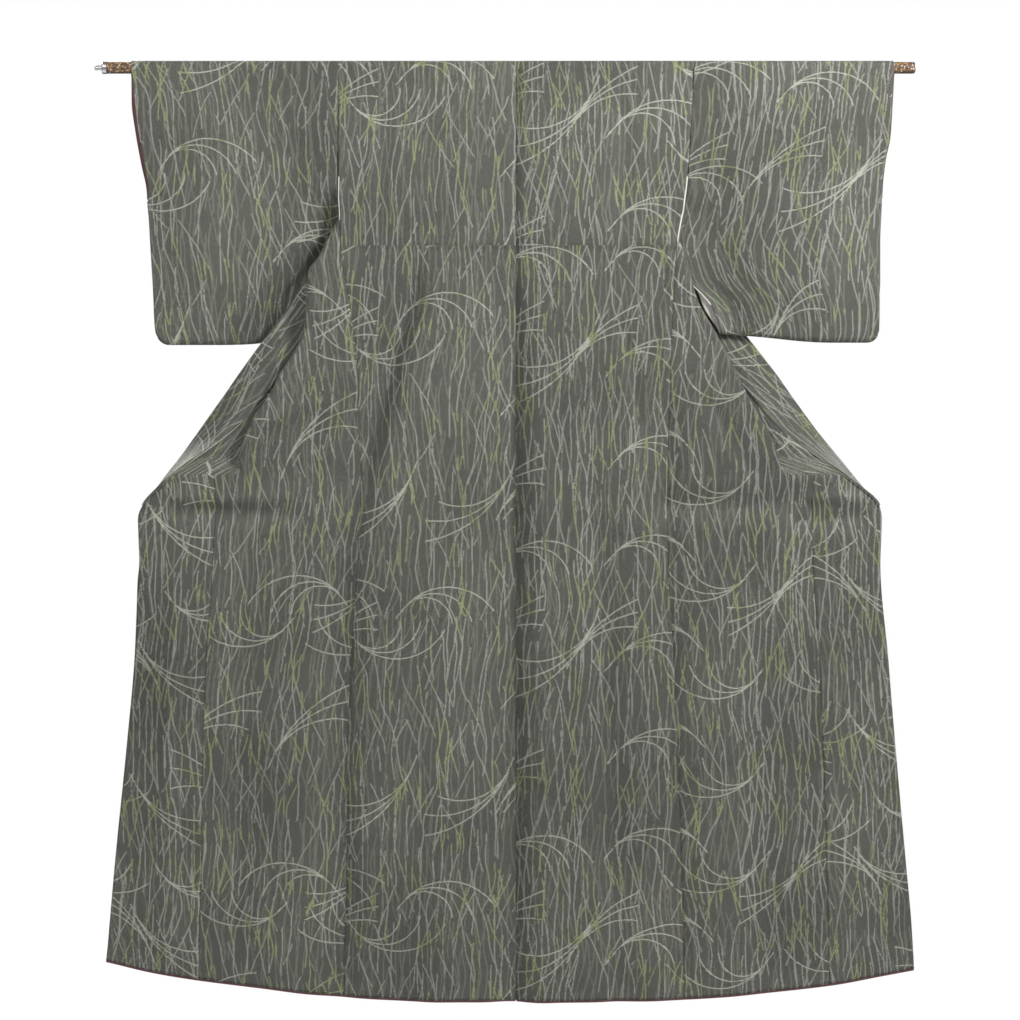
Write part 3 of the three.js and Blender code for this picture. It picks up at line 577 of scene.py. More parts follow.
def bent_grass(tree, mark, seed, cell, offset, root, lean, hand, size, curl, stem, present):
    """lean is the stem's angle above level, hand the side that it bends to, size the middle bend's radius."""
    t = (math.cos(lean), -math.sin(lean), 0)
    n = (hand * math.sin(lean), hand * math.cos(lean), 0)
    place = vector(tree, "MULTIPLY_ADD", mark, (1 / cell[0], 1 / cell[1], 0), (offset[0], offset[1], seed + 0.5))
    number = vector(tree, "WRAP", vector(tree, "FLOOR", place), (64, round(REPEAT / cell[1]), 64), (0, 0, 0))
    own = put(tree, "TexWhiteNoise", {0: number}, noise_dimensions="3D").outputs[1]
    shares = put(tree, "SeparateXYZ", {0: own})
    local = vector(tree, "MULTIPLY_ADD", vector(tree, "FRACTION", place), (*cell, 0), (-root[0], -root[1], 0))
    local = vector(tree, "MULTIPLY_ADD", own, (-22, -18, 0), local)
    grow = calc(tree, "MULTIPLY_ADD", shares.outputs[2], 0.3 / size, 0.85 / size)
    local = vector(tree, "SCALE", local, scale=grow)
    x, y, square = (
        put(tree, "VectorMath", {0: local, 1: v}, operation="DOT_PRODUCT").outputs["Value"]
        for v in (t, n, local)
    )
    radius = calc(tree, "DIVIDE", square, calc(tree, "MAXIMUM", calc(tree, "MULTIPLY", y, 2.0), 0.001))
    line = calc(tree, "ROUND", calc(tree, "DIVIDE", calc(tree, "LOGARITHM", radius, math.e), math.log(BEND_RATIO)))
    line = calc(tree, "MINIMUM", calc(tree, "MAXIMUM", line, -1.0), 1.0)
    bend = calc(tree, "POWER", BEND_RATIO, line)
    lowered = calc(tree, "SUBTRACT", bend, calc(tree, "MULTIPLY", y, 2.0))
    reach = calc(tree, "SQRT", calc(tree, "MULTIPLY_ADD", bend, lowered, square))
    width = calc(tree, "MULTIPLY", grow, LINE_HALF)
    near = calc(tree, "COMPARE", reach, bend, width)
    turned = calc(tree, "MULTIPLY_ADD", line, 0.12, calc(tree, "ARCTAN2", y, x))
    quarter = math.radians(curl) / 4
    curled = calc(tree, "MULTIPLY", near, calc(tree, "COMPARE", turned, quarter, quarter + 0.06))
    half_stem = stem / 2 / size
    on_stem = calc(tree, "COMPARE", x, -half_stem, half_stem)
    straight = calc(tree, "MULTIPLY", calc(tree, "COMPARE", y, 0.0, width), on_stem)
    grown = calc(tree, "LESS_THAN", shares.outputs[0], present)
    return calc(tree, "MULTIPLY", calc(tree, "MAXIMUM", curled, straight), grown)


# The cloth's pattern: marks on a dark ground, strands and bent grass picked out in brighter marks.
# pitch, wander, its length, lean, seed, cover
STRAND_LAYERS = [
    (11.5, 10, 210, 0.03, 1.0, 0.8), (19, 16, 170, 0.13, 2.0, 0.76), (23, 16, 190, -0.15, 3.0, 0.76),
    (44, 12, 240, 0.4, 5.0, 0.42), (47, 12, 220, -0.42, 6.0, 0.42),
]
# seed, cell, its offset, root in the cell, lean, hand, size, curl, stem, share of cells that hold a group
BENT_LAYERS = [
    (1.0, (186, REPEAT / 3), (0.1, 0.2), (26, 92), math.radians(50), 1, 70, 118, 26, 0.5),
    (2.0, (186, REPEAT / 3), (0.55, 0.7), (26, 66), math.radians(-50), -1, 70, 122, 26, 0.46),
    (3.0, (160, REPEAT / 2), (0.35, 0.3), (36, 236), math.radians(62), 1, 165, 66, 30, 0.5),
    (4.0, (170, REPEAT / 2), (0.8, 0.75), (140, 22), math.radians(-112), 1, 150, 72, 20, 0.42),
]
STEEP = 0.2
g, gi, go = node_group("grass_weave", [
    ("Cloth", "Vector", None),
    ("Ground", "Color", (0.031, 0.030, 0.027, 1)), ("Mark", "Color", (0.43, 0.44, 0.385, 1)),
    ("Bright line", "Color", (0.56, 0.58, 0.48, 1)), ("Plain line", "Color", (0.43, 0.435, 0.375, 1)),
    ("Faint line", "Color", (0.25, 0.245, 0.20, 1)), ("Green line", "Color", (0.375, 0.42, 0.215, 1)),
], [("Color", "Color")])
cells = use_group(g, LATTICE, {"Cloth": gi.outputs["Cloth"]})
mark = cells.outputs["Mark"]
line = shade = None
for layer in STRAND_LAYERS:
    near, own = strands(g, mark, *layer)
    if abs(layer[3]) > STEEP:
        own = calc(g, "MULTIPLY_ADD", own, 0.5, 0.5)
    if line is None:
        line, shade = near, own
    else:
        shade = put(g, "Mix", {0: near, 2: shade, 3: own}, data_type="FLOAT").outputs[0]
        line = calc(g, "MAXIMUM", line, near)
bent = None
for layer in BENT_LAYERS:
    near = bent_grass(g, mark, *layer)
    bent = near if bent is None else calc(g, "MAXIMUM", bent, near)
patch = noise(g, vector(g, "MULTIPLY", mark, (1 / 30, 1 / 80, 0)), 1.0, 1.0, "2D")
green = calc(g, "GREATER_THAN", calc(g, "MULTIPLY_ADD", shade, 0.16, patch), 0.7)
faint = calc(g, "LESS_THAN", shade, 0.46)
line_color = mixed(g, faint, gi.outputs["Plain line"], gi.outputs["Faint line"])
line_color = mixed(g, green, line_color, gi.outputs["Green line"])
green_bent = calc(g, "GREATER_THAN", patch, 0.64)
bent_color = mixed(g, green_bent, gi.outputs["Bright line"], gi.outputs["Green line"])
line_color = mixed(g, bent, line_color, bent_color)
lines = calc(g, "MAXIMUM", line, bent)
ia = calc(g, "ABSOLUTE", cells.outputs["Inside across"])
il = calc(g, "ABSOLUTE", cells.outputs["Inside along"])
dot = calc(g, "LESS_THAN", calc(g, "MULTIPLY_ADD", ia, 1.7, il), 0.36)
bar = calc(g, "LESS_THAN", calc(g, "MAXIMUM", ia, calc(g, "MULTIPLY", il, 1.8)), 0.44)
post = calc(g, "LESS_THAN", ia, 0.17)
plus = calc(g, "MULTIPLY", calc(g, "MAXIMUM", bar, post), lines)
color = mixed(g, plus, mixed(g, dot, gi.outputs["Ground"], gi.outputs["Mark"]), line_color)
g.links.new(color, go.inputs["Color"])
GRASS_WEAVE = g

# Patterned silk: matt, with a faint slub and slow changes of tone
CLOTH, tree, shader = new_material("patterned_silk")
weave = put(tree, "UVMap", uv_map="weave").outputs[0]
pattern = use_group(tree, GRASS_WEAVE, {"Cloth": weave})
tone = ranged(tree, noise(tree, weave, 4.0, 2.0, "2D"), 0.3, 0.7, 0.86, 1.1)
tree.links.new(vector(tree, "SCALE", pattern.outputs["Color"], scale=tone), shader.inputs["Base Color"])
slub = noise(tree, vector(tree, "MULTIPLY", weave, (300, 1400, 0)), 1.0, 1.0, "2D")
roughen(tree, shader, slub, 0.22, 0.0004)
tree.links.new(ranged(tree, slub, 0.2, 0.8, 0.62, 0.76), shader.inputs["Roughness"])
set_shader(shader, Sheen_Weight=0.1, Sheen_Roughness=0.45, Specular_IOR_Level=0.28)

# Linings: plain smooth silk, white above and brown-red below the waist and beside the cuffs
g, gi, go = node_group("plain_silk", [
    ("Place", "Vector", None), ("Light", "Color", (0.8, 0.77, 0.71, 1)), ("Dark", "Color", (0.1, 0.035, 0.04, 1)),
    ("Dark share", "Float", 0.0),
], [("Color", "Color"), ("Height", "Float")])
base = mixed(g, gi.outputs["Dark share"], gi.outputs["Light"], gi.outputs["Dark"])
shade = ranged(g, noise(g, gi.outputs["Place"], 7.0, 3.0), 0.3, 0.7, 0.9, 1.05)
g.links.new(vector(g, "SCALE", base, scale=shade), go.inputs[0])
g.links.new(noise(g, gi.outputs["Place"], 900.0, 1.0), go.inputs[1])
SILK = g


def lining_material(name, dark=0.0, change=None):
    """Silk with that share of brown-red, or white that changes to it: axis, where it starts and stops (m)."""
    m, tree, shader = new_material(name)
    place = put(tree, "TexCoord").outputs["Object"]
    share = dark
    if change:
        axis, start, stop = change
        value = calc(tree, "ABSOLUTE", put(tree, "SeparateXYZ", {0: place}).outputs[axis])
        share = ranged(tree, value, start, stop, 0.0, 1.0)
    silk = use_group(tree, SILK, {"Place": place, "Dark share": share})
    tree.links.new(silk.outputs["Color"], shader.inputs["Base Color"])
    roughen(tree, shader, silk.outputs["Height"], 0.15, 0.0003)
    set_shader(shader, Roughness=0.5, Sheen_Weight=0.15, Specular_IOR_Level=0.35)
    return m


BODY_LINING = lining_material("body_lining", change=(2, 1.01, 1.014))

# Each piece takes its pattern from another place of the bolt: across, along, and 1 or -1 for its way round
BOLT_PLACE = {
    "body_panel_left": (20, 60, -1), "body_panel_right": (215, 310, 1), "sleeve_left": (120, 420, -1),
    "sleeve_right": (40, 200, 1), "overlap_panel_left": (260, 150, -1), "overlap_panel_right": (90, 20, 1),
    "collar_band": (300, 260, 1),
}


def on_bolt(name, across, down):
    """Place on the bolt, in mm, of points of a piece."""
    a, d, way = BOLT_PLACE[name]
    return np.stack([a + way * np.asarray(across, float), d + np.asarray(down, float)], -1)


ALLOWANCE = 2.4
ALLOWANCE_OVER = 0.12
# Rows of the fronts below the fold: where the pleat opens out, and down to the hem
LOW_DROPS = list(np.linspace(*PLEAT_END, 7)) + list(np.linspace(707, HEM_DROP, 128))
BELOW_TUCK_ROWS = 184


def turned_in(out, depth, end, way, deep=ALLOWANCE):
    """A row with the seam allowance added behind its first (end 0) or last (end -1) point."""
    near, place = (1, 0) if end == 0 else (-2, len(out))
    ax, ay = out[end], depth[end]
    tx, ty = out[near] - ax, depth[near] - ay
    n = math.hypot(tx, ty) or 1
    tx, ty = tx / n, ty / n
    return (
        np.insert(out, place, ax - way * ty * deep - tx * ALLOWANCE_OVER),
        np.insert(depth, place, ay + way * tx * deep - ty * ALLOWANCE_OVER),
    )


def dress(name, points, faces, corners, lining, rim=0):
    """Makes the patterned cloth of one sewn piece, with its lining inside, in the place of its solid."""
    obj = make_piece(name + "_cloth", points, faces, corners, [CLOTH, lining], rim=rim)
    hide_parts(name)
    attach(obj, "root")
    return obj


def body_panel(side):
    name = "body_panel_" + side
    drops = list(np.linspace(HEM_DROP, TUCK_DROP + 4, BELOW_TUCK_ROWS)) + list(np.linspace(TUCK_DROP, 6, 46))
    back_rows = len(drops)
    rows, across, down = [], [], []
    neck = np.array([84, 80, 66, 52, 36, 18, SEAM_GAP / 2])
    cols = 1 + 55 + len(neck) + 1

    def add(points, s, d):
        rows.append(points)
        across.append(s)
        down.append(np.full(cols, float(d)))

    for drop in drops:
        edge = back_side(side, drop)
        out = np.concatenate([spread([(edge, edge - 6, 3), (edge - 6, NECK_HALF, 51)]), neck])
        depth = back_depth(side, out, drop) + seam_dip(out) + seam_dip(edge - out)
        ledge = np.where(drop >= TUCK_DROP + 4, 0.0, -1.5) * math.exp(-max(0, TUCK_DROP - drop) / 30)
        depth = depth + ledge + 1.2 * math.exp(-((drop - TUCK_DROP - 6) / 4) ** 2)
        out, depth = turned_in(out, depth, 0, -1)
        out, depth = np.append(out, 0.03), np.append(depth, depth[-1] + ALLOWANCE)
        add(placed(side, out, depth, drop), out, drop)
    pen, fold, reach, panel, total = front_pen(side, 0)
    top_out = along(pen, panel_stops(fold, reach, panel))[0]
    shoulder = SHOULDER_HALF - SEAM_GAP
    even = spread([(shoulder, shoulder - 6, 3), (shoulder - 6, NECK_HALF, 51)])
    steps = 16
    for k in range(steps + 1):
        a = math.pi * k / steps
        out = np.concatenate([[shoulder + 0.1], even + (top_out - even) * k / steps, neck, [0.03]])
        radius = OVER_ROD - 0.3 * np.exp(-((out / 3) ** 2))
        add(np.stack([ORIENT[side] * out, -radius * math.cos(a), radius * math.sin(a)], -1), out, -OVER_ROD * a)
    base = OVER_ROD * math.pi
    beside_neck = [4, 10, 16, 22]
    above = list(np.linspace(28, ARMHOLE_DROP, 26)) + list(np.linspace(210, 664, 66))
    for drop in beside_neck + above + LOW_DROPS:
        out, depth, s = front_row(side, drop, "panel")
        depth = depth + seam_dip(s) * (1 if drop > 250 else 0)
        out, depth = turned_in(out, depth, 0, 1)
        out, depth = turned_in(out, depth, -1, -1, 0.3 if drop < OVERLAP_POINT_DROP else ALLOWANCE)
        flap_out = np.append(neck[1:], 0.03)
        level = np.ones(len(flap_out))
        flap = np.stack([ORIENT[side] * flap_out, OVER_ROD * level, -float(drop) * level], -1)
        s = np.concatenate([[-2], s, [s[-1] + 2]])
        points = np.concatenate([placed(side, out, depth, drop), flap])
        add(points, np.concatenate([SHOULDER_HALF - s, flap_out]), -base - drop)
    panel_cols = 57
    first_front = back_rows + steps
    skip = {(i, j) for i in range(first_front, len(rows)) for j in range(panel_cols - 1, cols)
            if i >= first_front + len(beside_neck) or j == panel_cols - 1}
    quads = quads_of(len(rows), cols, side == "right", skip=skip)
    weave = on_bolt(name, np.concatenate(across), np.concatenate(down))
    step = np.array([0.0, TUCK_TAKE_UP])
    corners = [weave[k] + (step if i < BELOW_TUCK_ROWS else 0) for i, j, q in quads for k in q]
    obj = dress(name, np.concatenate(rows), [q for i, j, q in quads], corners, BODY_LINING, rim=1)
    return obj


BODY = {side: body_panel(side) for side in ORIENT}

# Overlap panels: a narrow lined length each, pointed at its top, sewn between the body panel and the
# collar. They reach from above the waist to the front hem.
def overlap_panel(side):
    name = "overlap_panel_" + side
    drops = list(np.linspace(OVERLAP_POINT_DROP, 664, 40)) + LOW_DROPS
    rows, across, down = [], [], []
    for drop in drops:
        out, depth, s = front_row(side, drop, "overlap")
        depth = depth + seam_dip(s - s[0]) * (1 if drop > 700 else 0.2)
        out, depth = turned_in(out, depth, 0, 1)
        s = np.concatenate([[s[0] - 2], s])
        rows.append(placed(side, out, depth, drop))
        across.append(s - s[1])
        down.append(np.full(len(s), float(-drop)))
    faces = [q for i, j, q in quads_of(len(rows), len(rows[0]), side == "right")]
    weave = on_bolt(name, np.concatenate(across), np.concatenate(down))
    corners = [weave[k] for q in faces for k in q]
    obj = dress(name, np.concatenate(rows), faces, corners, BODY_LINING, rim=1)


for side in ORIENT:
    overlap_panel(side)

# Collar band: one lined band folded lengthwise, soft at its free edge. It is sewn to both fronts and the
# neck, stands up behind the neck and is turned back along the fronts.
COLLAR_WIDTH = 57
COLLAR_THICK = 3.6
COLLAR_RISE = 0.594
COLLAR_SPREAD = 0.805
NECK_FLAP_DROP = 22
WHITE_LINING = lining_material("white_lining")


def collar_station(side, drop):
    """Where the collar is sewn on at one drop, and the direction that it runs to from there."""
    out, depth, s = front_row(side, drop, "overlap" if drop >= OVERLAP_POINT_DROP else "panel")
    turn = read(FRONT_CLOTH, "neck_turn", drop) if drop <= ARMHOLE_DROP else read(FRONT[side], "turn", drop)
    turn = min(1.0, float(turn))
    away = math.sqrt(max(0.0, 1 - turn * turn))
    run = np.array([ORIENT[side] * COLLAR_SPREAD * turn, away, COLLAR_RISE * turn])
    run /= np.linalg.norm(run)
    base = placed(side, out[-1:], depth[-1:], drop)[0] + run * 0.9
    return base, run


def collar_band():
    drops = np.concatenate([np.linspace(752, 230, 75), np.linspace(222, 22, 36)])
    left = [collar_station("left", d) for d in drops]
    right = [collar_station("right", d) for d in drops][::-1]
    neck = table("place out depth tilt", [
        (0, -70, 14.5, 12), (1, -50, 13, 32), (2, -26, 12.6, 52), (3, 0, 12.4, 64),
        (4, 26, 12.6, 52), (5, 50, 13, 32), (6, 70, 14.5, 12),
    ])
    behind = []
    for k in np.linspace(0, 6, 25):
        a = math.radians(float(read(neck, "tilt", k)))
        run = np.array([0, math.cos(a), -math.sin(a)])
        seam = np.array([float(read(neck, "out", k)), float(read(neck, "depth", k)), -NECK_FLAP_DROP - 1.0])
        behind.append((seam + run, run))
    stations = left + behind + right
    base = np.array([b for b, r in stations])
    runs = np.array([r for b, r in stations])
    # Soften the changes of direction along the band
    for _ in range(3):
        base[1:-1] = (base[:-2] + 6 * base[1:-1] + base[2:]) / 8
        runs[1:-1] = (runs[:-2] + 2 * runs[1:-1] + runs[2:]) / 4
        runs /= np.linalg.norm(runs, axis=1)[:, None]
    run_along = np.gradient(base, axis=0)
    face = np.cross(run_along, runs)
    face /= np.linalg.norm(face, axis=1)[:, None]
    half = (COLLAR_THICK - SHEET_THICK) / 2
    free = COLLAR_WIDTH - half - SHEET_THICK / 2
    profile = [(s, -half) for s in [-4, 0, 3, 6] + list(np.linspace(12, free - 2, 9))]
    profile += [(free + half * math.sin(a), -half * math.cos(a)) for a in np.linspace(0.0, math.pi, 9)]
    profile += [(s, half) for s in list(np.linspace(free - 2, 12, 9)) + [6, 3, 0, -4]]
    length = np.concatenate([[0], np.cumsum(np.linalg.norm(np.diff(base, axis=0), axis=1))])
    points, weave = [], []
    for k in range(len(stations)):
        for s, d in profile:
            points.append(base[k] + runs[k] * s + face[k] * d)
            weave.append((s if d < 0 else -s, length[k]))
    faces = [q for i, j, q in quads_of(len(stations), len(profile), False)]
    bolt = on_bolt("collar_band", [w[0] for w in weave], [w[1] for w in weave])
    corners = [bolt[k] for f in faces for k in f]
    obj = dress("collar_band", points, faces, corners, WHITE_LINING)


collar_band()

# Sleeves: one length each, hung over the rod and sewn below into a bag with a rounded outer corner. The
# wrist side is open above and sewn below, the side towards the body is open under the armhole.
CUFF_OPENING_DROP = 230
SLEEVE_LINING = lining_material("sleeve_lining", change=(0, 0.55, 0.553))
# Edges at the wrist and beside the body of the back and the front layer, how far both shift to the front
# beside the body, and how far the back layer alone dives in behind the body
SLEEVE = {
    "left": table("drop cuff_back cuff_front inner_back inner_front shift dive", [
        (0, 660, 661, 305, 305, 0, 0), (56, 654, 660.5, 305, 305, 0, 0), (108, 648, 654, 305, 305, 0, 0),
        (168, 637, 643, 305, 305, 0, 0), (205, 631, 635, 304.5, 305, 2, 0), (228, 631, 633, 300, 302, 13, 0),
        (262, 629, 629, 292, 296, 29, 0), (298, 627, 627, 288, 293, 37, 0), (381, 622, 622, 290, 295, 38, 0),
        (444, 619, 619, 296, 300, 38, 0), (476, 613, 613, 300, 304, 38, 0),
    ]),
    "right": table("drop cuff_back cuff_front inner_back inner_front shift dive", [
        (0, 648, 648, 305, 305, 0, 0), (56, 645, 646, 302.5, 304, 0, 0), (119, 641, 643, 298.5, 302, 0, 0),
        (160, 633, 634, 296, 300, 0, 0), (205, 628, 628, 292.5, 297, 0, 1), (228, 627, 627, 288, 294, 0, 6),
        (251, 626, 626, 284, 293, 0, 10), (298, 624, 624, 278, 288, 0, 11), (345, 624, 624, 289, 300, 0, 11),
        (370, 624, 624, 301, 307, 0, 11), (390, 623, 623, 320, 316, 0, 10), (410, 623, 623, 336, 323, 0, 8),
        (457, 622, 622, 352, 350, 0, 3), (476, 616, 616, 354, 354, 0, 0),
    ]),
}
CORNER_RADIUS = 17
CORNER_SHARE = 0.055
# How far down the foot lies beside the body and at the wrist
SLEEVE_FOOT = {"left": (455, 476), "right": (458, 472)}
# The front's taut slanting edge behind the sleeve: how far out it starts, and how much further for each drop
TAUT = {"left": (90, 0.7376), "right": (60, 0.74)}
# The shift and the dive run out over these distances, and the sewn wrist side leaves this half gap inside
SHIFT_RUN = 72
DIVE_RUN = 75
SEWN_GAP = 4
# Sleeve folds: width, depth, and the points (out beyond the shoulder seam, drop) that each runs through
SLEEVE_FOLDS = {
    "left": [
        (40, 12, [(75, 150), (112, 300), (135, 460)]),
        (22, -4, [(230, 80), (215, 260), (230, 450)]),
        (14, 2, [(20, 330), (120, 400), (200, 455)]),
    ],
    "right": [
        (44, 9, [(40, 210), (34, 300), (66, 460)]),
        (24, -4, [(240, 60), (225, 260), (215, 450)]),
        (12, 2.5, [(10, 250), (60, 340), (140, 430)]),
    ],
}


def sleeve_point(side, share, drop, layer):
    """Points of one sleeve: share runs from the body (0) to the wrist (1), layer is -1 behind, 1 in front."""
    t = SLEEVE[side]
    share = np.asarray(share, float)
    drop = np.asarray(drop, float)
    front = (layer + 1) / 2
    cuff = read(t, "cuff_back", drop) * (1 - front) + read(t, "cuff_front", drop) * front
    inner = read(t, "inner_back", drop) * (1 - front) + read(t, "inner_front", drop) * front
    out = inner + SEAM_GAP + share * (cuff - inner - SEAM_GAP)
    edge = np.maximum(SHOULDER_HALF, TAUT[side][0] + TAUT[side][1] * drop) + 8
    shift = read(t, "shift", drop) * eased(1 - (out - edge) / SHIFT_RUN)
    sewn = eased((drop - CUFF_OPENING_DROP + 20) / 40) * eased((share - 0.78) / 0.22)
    half = OVER_ROD - 2.4 * eased(drop / ARMHOLE_DROP) - 1.2 * eased((drop - 250) / 200)
    gap = half * (1 - sewn) + SEWN_GAP * sewn
    depth = layer * gap + shift
    calm = eased(drop / 80) * eased(share * 12) * eased((1 - share) * 8)
    for width, deep, points in SLEEVE_FOLDS[side]:
        away, _ = near_line(out - SHOULDER_HALF, drop, points)
        depth = depth + deep * calm * np.exp(-((away / width) ** 2))
    if layer < 0:
        depth = depth + seam_dip(out - inner) * eased((ARMHOLE_DROP - drop) / 15)
        depth = depth + read(t, "dive", drop) * eased(1 - (out - inner) / DIVE_RUN)
    return np.stack([ORIENT[side] * out, depth, -drop + 0 * out], -1)


def sleeve_foot(side, share):
    """Drop of the sleeve's foot, which curves up at the wrist."""
    inner, outer = SLEEVE_FOOT[side]
    corner = np.clip((share - 1) / CORNER_SHARE + 1, 0, 1)
    return inner + (outer - inner) * eased(share / 0.7) - CORNER_RADIUS * (1 - np.sqrt(1 - corner**2))


SLEEVE_WIDTH = 330
OVER_ROD_STEPS = 12


def sleeve(side):
    name = "sleeve_" + side
    share = spread([(0, 0.02, 3), (0.02, 0.9, 36), (0.9, 0.97, 5), (0.97, 1, 7)])
    foot = sleeve_foot(side, share)
    levels = np.linspace(1, 0.02, 66)
    rows, down = [], []
    bottom = sleeve_point(side, share, foot - 3, 0)
    bottom[:, 2] = -foot
    rows.append(bottom)
    down.append(foot)
    for level in levels:
        drop = (foot - 2.5) * level
        rows.append(sleeve_point(side, share, drop, -1))
        down.append(drop)
    for k in range(OVER_ROD_STEPS + 1):
        a = math.pi * k / OVER_ROD_STEPS
        p = sleeve_point(side, share, 0 * share, -math.cos(a))
        p[:, 1] = -OVER_ROD * math.cos(a)
        p[:, 2] = OVER_ROD * math.sin(a)
        rows.append(p)
        down.append(np.full(len(share), -OVER_ROD * a))
    for level in levels[::-1]:
        drop = (foot - 2.5) * level
        rows.append(sleeve_point(side, share, drop, 1))
        down.append(-OVER_ROD * math.pi - drop)
    count, cols = len(rows), len(share)
    quads = quads_of(count, cols, side == "left", wrap=True)
    points = list(np.concatenate(rows))
    across = np.tile(share * SLEEVE_WIDTH, count)
    weave = list(on_bolt(name, across, np.concatenate(down)))
    faces = [q for i, j, q in quads]
    corners = []
    for i, j, q in quads:
        for k in q:
            w = weave[k]
            if i == count - 1 and k < cols:
                w = w - np.array([0, down[0][0] * 2 + OVER_ROD * math.pi])
            corners.append(w)
    # The sewn lower part of the wrist side
    last = cols - 1
    previous, place = last, weave[last]
    half_way = np.array([5.0, 0.0])
    for k in range(1, len(levels) + 1):
        back, front = k * cols + last, (count - k) * cols + last
        p = (points[back] + points[front]) / 2
        if -p[2] < CUFF_OPENING_DROP - 6:
            break
        p = p + np.array([ORIENT[side] * 1.6, 0, 0])
        points.append(p)
        middle = len(points) - 1
        below, place = place, weave[back]
        if k == 1:
            new = [
                [(previous, below), (back, place), (middle, place + half_way)],
                [(previous, below), (middle, place + half_way), (front, place + 2 * half_way)],
            ]
        else:
            under_back, under_front = (k - 1) * cols + last, (count - k + 1) * cols + last
            new = [
                [(under_back, below), (back, place), (middle, place + half_way), (previous, below + half_way)],
                [(previous, below + half_way), (middle, place + half_way), (front, place + 2 * half_way),
                 (under_front, below + 2 * half_way)],
            ]
        for f in new:
            f = f if side == "left" else f[::-1]
            faces.append([corner for corner, _ in f])
            corners.extend(at for _, at in f)
        previous = middle
    obj = dress(name, points, faces, corners, SLEEVE_LINING)


for side in ORIENT:
    sleeve(side)

# Sleeve linings that show: brown-red silk behind the cuff openings' edges, white silk beside the right
# armhole, each a strip felled to the inside of the sleeve.
DARK_LINING = lining_material("dark_lining", dark=1.0)
STRIP_INWARD = SHEET_THICK / 2 + 0.8


def lining_strip(name, side, drops, shares, material):
    """A strip inside the sleeve's front layer, between those drops and shares."""
    rows = []
    for drop in drops:
        p = sleeve_point(side, shares, np.full(len(shares), float(drop)), 1)
        p[:, 1] -= STRIP_INWARD
        rows.append(p)
    faces = [q for i, j, q in quads_of(len(rows), len(shares), side == "left")]
    points = np.concatenate(rows)
    corners = [(points[k][0], points[k][2]) for q in faces for k in q]
    obj = make_piece(name + "_silk", points, faces, corners, [material], thick=0.6)
    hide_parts(name)
    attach(obj, "root")


for side in ORIENT:
    drops, shares = np.linspace(8, 222, 40), np.linspace(0.93, 1.004, 10)
    lining_strip("cuff_lining_" + side, side, drops, shares, DARK_LINING)
drops, shares = np.linspace(214, 440, 40), np.linspace(-0.004, 0.1, 10)
lining_strip("armhole_lining_right", "right", drops, shares, WHITE_LINING)

# Rolled edges: the lining stands a little proud of the cloth, as a thin roll sewn round the cuff openings
# and along the hem, and in white along the open side edges and the right armhole.
def tube(name, points, radius, material):
    """A closed round roll through points, in mm."""
    p = np.array(points, float)
    run = np.gradient(p, axis=0)
    run /= np.linalg.norm(run, axis=1)[:, None]
    side = np.cross(run, [0, 1, 0])
    side /= np.linalg.norm(side, axis=1)[:, None]
    up = np.cross(side, run)
    sides = 8
    verts = []
    for k in range(len(p)):
        for s in range(sides):
            a = 2 * math.pi * s / sides
            verts.append(p[k] + radius * (math.cos(a) * side[k] + math.sin(a) * up[k]))
    faces = []
    for k in range(len(p) - 1):
        for s in range(sides):
            n = (s + 1) % sides
            faces.append([k * sides + s, k * sides + n, (k + 1) * sides + n, (k + 1) * sides + s])
    faces.append(list(range(sides))[::-1])
    faces.append([(len(p) - 1) * sides + s for s in range(sides)])
    corners = [(verts[k][0], verts[k][2]) for f in faces for k in f]
    obj = make_piece(name, verts, faces, corners, [material], thick=0)
    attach(obj, "root")
    return obj


for side in ORIENT:
    for layer, label in ((-1, "back"), (1, "front")):
        line_points = sleeve_point(side, np.full(50, 1.0), np.linspace(4, 226, 50), layer)
        line_points[:, 0] += ORIENT[side] * 0.5
        line_points[:, 1] -= layer * 0.7
        tube(f"cuff_roll_{side}_{label}", line_points, 1.1, DARK_LINING)
for side, reach, radius in (("left", 262, 0.8), ("right", 300, 1.3)):
    edge_points = []
    for drop in np.linspace(188, reach, 40):
        edge = back_side(side, drop)
        depth = back_depth(side, np.array([edge]), drop) + 0.9
        edge_points.append(placed(side, np.array([edge + 0.4]), depth, drop)[0])
    tube(f"side_opening_roll_{side}", edge_points, radius, WHITE_LINING)
edge_points = [sleeve_point("right", np.zeros(1), np.array([drop]), -1)[0] for drop in np.linspace(352, 408, 24)]
tube("armhole_roll_right", edge_points, 1.1, WHITE_LINING)


def hem_roll(side):
    drop = HEM_DROP
    front_depth = float(read(PLEAT, "middle", drop))
    seam_side = float(read(FRONT[side], "side", drop))
    edge = float(read(FRONT[side], "seam", drop))
    outs = np.linspace(edge - 0.5, seam_side, 90)
    a = placed(side, outs, np.full(90, front_depth), drop)
    outs = np.linspace(seam_side, 1, 80)[1:]
    b = placed(side, outs, back_depth(side, outs, drop), drop)
    points = np.concatenate([a, b])
    points[:, 2] -= 1.0
    obj = tube("hem_roll_" + side + "_silk", points, 1.7, DARK_LINING)
    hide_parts("hem_roll_" + side)


for side in ORIENT:
    hem_roll(side)

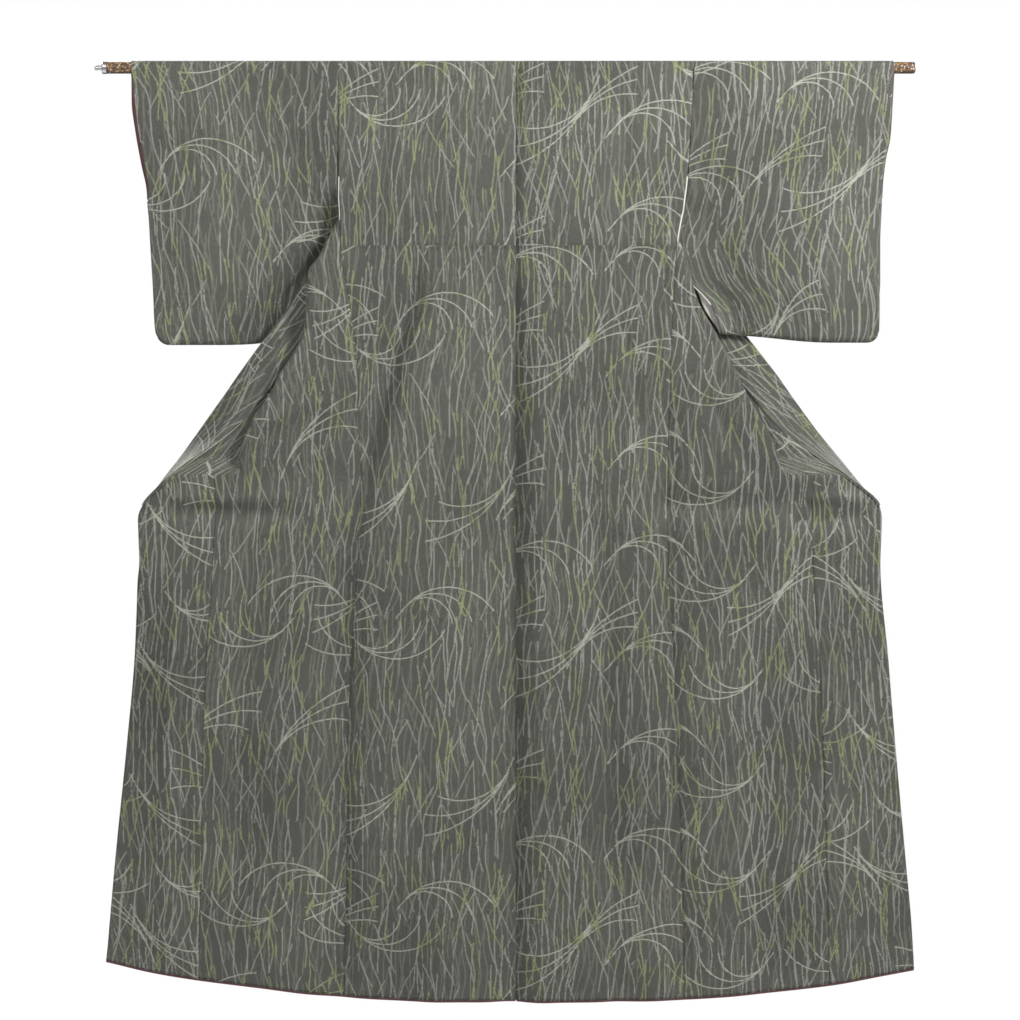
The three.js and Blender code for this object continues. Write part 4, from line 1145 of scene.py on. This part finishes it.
# Stage: a plain pale floor below the hanging garment. It ends little more than half a metre beyond the
# garment's front, so that it stays below the photograph's view.
FLOOR_DROP = 1.75
FLOOR_HALF = 1.9
FLOOR_END = 0.56
corners = [(-FLOOR_HALF, -FLOOR_HALF), (FLOOR_HALF, -FLOOR_HALF), (FLOOR_HALF, FLOOR_END), (-FLOOR_HALF, FLOOR_END)]
mesh = bpy.data.meshes.new("floor")
mesh.from_pydata([(x, y, -FLOOR_DROP) for x, y in corners], [], [[0, 1, 2, 3]])
floor = in_scene("floor", mesh)
pale, tree, shader = new_material("pale_floor")
set_shader(shader, Base_Color=(0.85, 0.85, 0.85, 1), Roughness=0.9)
mesh.materials.append(pale)

# Light: a soft light above each side of the back and a weak one below, two before the front, and a white
# surround that gives less light than it shows.
SURROUND_LIGHT = 0.17
world = bpy.data.worlds.new("surround")
world.use_nodes = True
tree = world.node_tree
seen = put(tree, "Background", {0: (1, 1, 1, 1), 1: 1.0})
given = put(tree, "Background", {0: (1, 1, 1, 1), 1: SURROUND_LIGHT})
direct = put(tree, "LightPath").outputs["Is Camera Ray"]
both = put(tree, "MixShader", {0: direct, 1: given.outputs[0], 2: seen.outputs[0]})
tree.links.new(both.outputs[0], tree.nodes["World Output"].inputs[0])
bpy.context.scene.world = world


def soft_light(name, at, aim, size, power):
    data = bpy.data.lights.new(name, "AREA")
    data.size = size
    data.energy = power
    obj = in_scene(name, data)
    obj.location = at
    obj.visible_camera = False
    direction = np.array(aim) - np.array(at)
    obj.rotation_euler = Vector(direction).to_track_quat("-Z", "Y").to_euler()


soft_light("key", (1.6, -1.45, 0.9), (0.1, 0, -0.45), 0.6, 68)
soft_light("fill", (-1.4, -1.25, 0.65), (-0.1, 0, -0.4), 0.8, 19)
soft_light("low", (0.3, -2.6, -1.3), (0, 0, -1.2), 1.2, 4.5)
soft_light("front", (-1.9, 2.6, 1.6), (0, 0, -0.6), 1.0, 125)
soft_light("front_fill", (2.2, 2.2, 0.9), (0, 0, -0.6), 1.2, 40)

# Camera: square on to the back, as in the photograph, and 4.87 m away. One pixel of the picture is 1.72 mm
# at the rod.
camera_data = bpy.data.cameras.new("camera")
camera_data.lens = 100
camera_data.sensor_width = 36
camera = in_scene("camera", camera_data)
camera.location = (-0.0103, -4.87, -0.76)
camera.rotation_euler = (math.pi / 2, 0, 0)
bpy.context.scene.camera = camera
bpy.context.scene.view_settings.view_transform = "Standard"
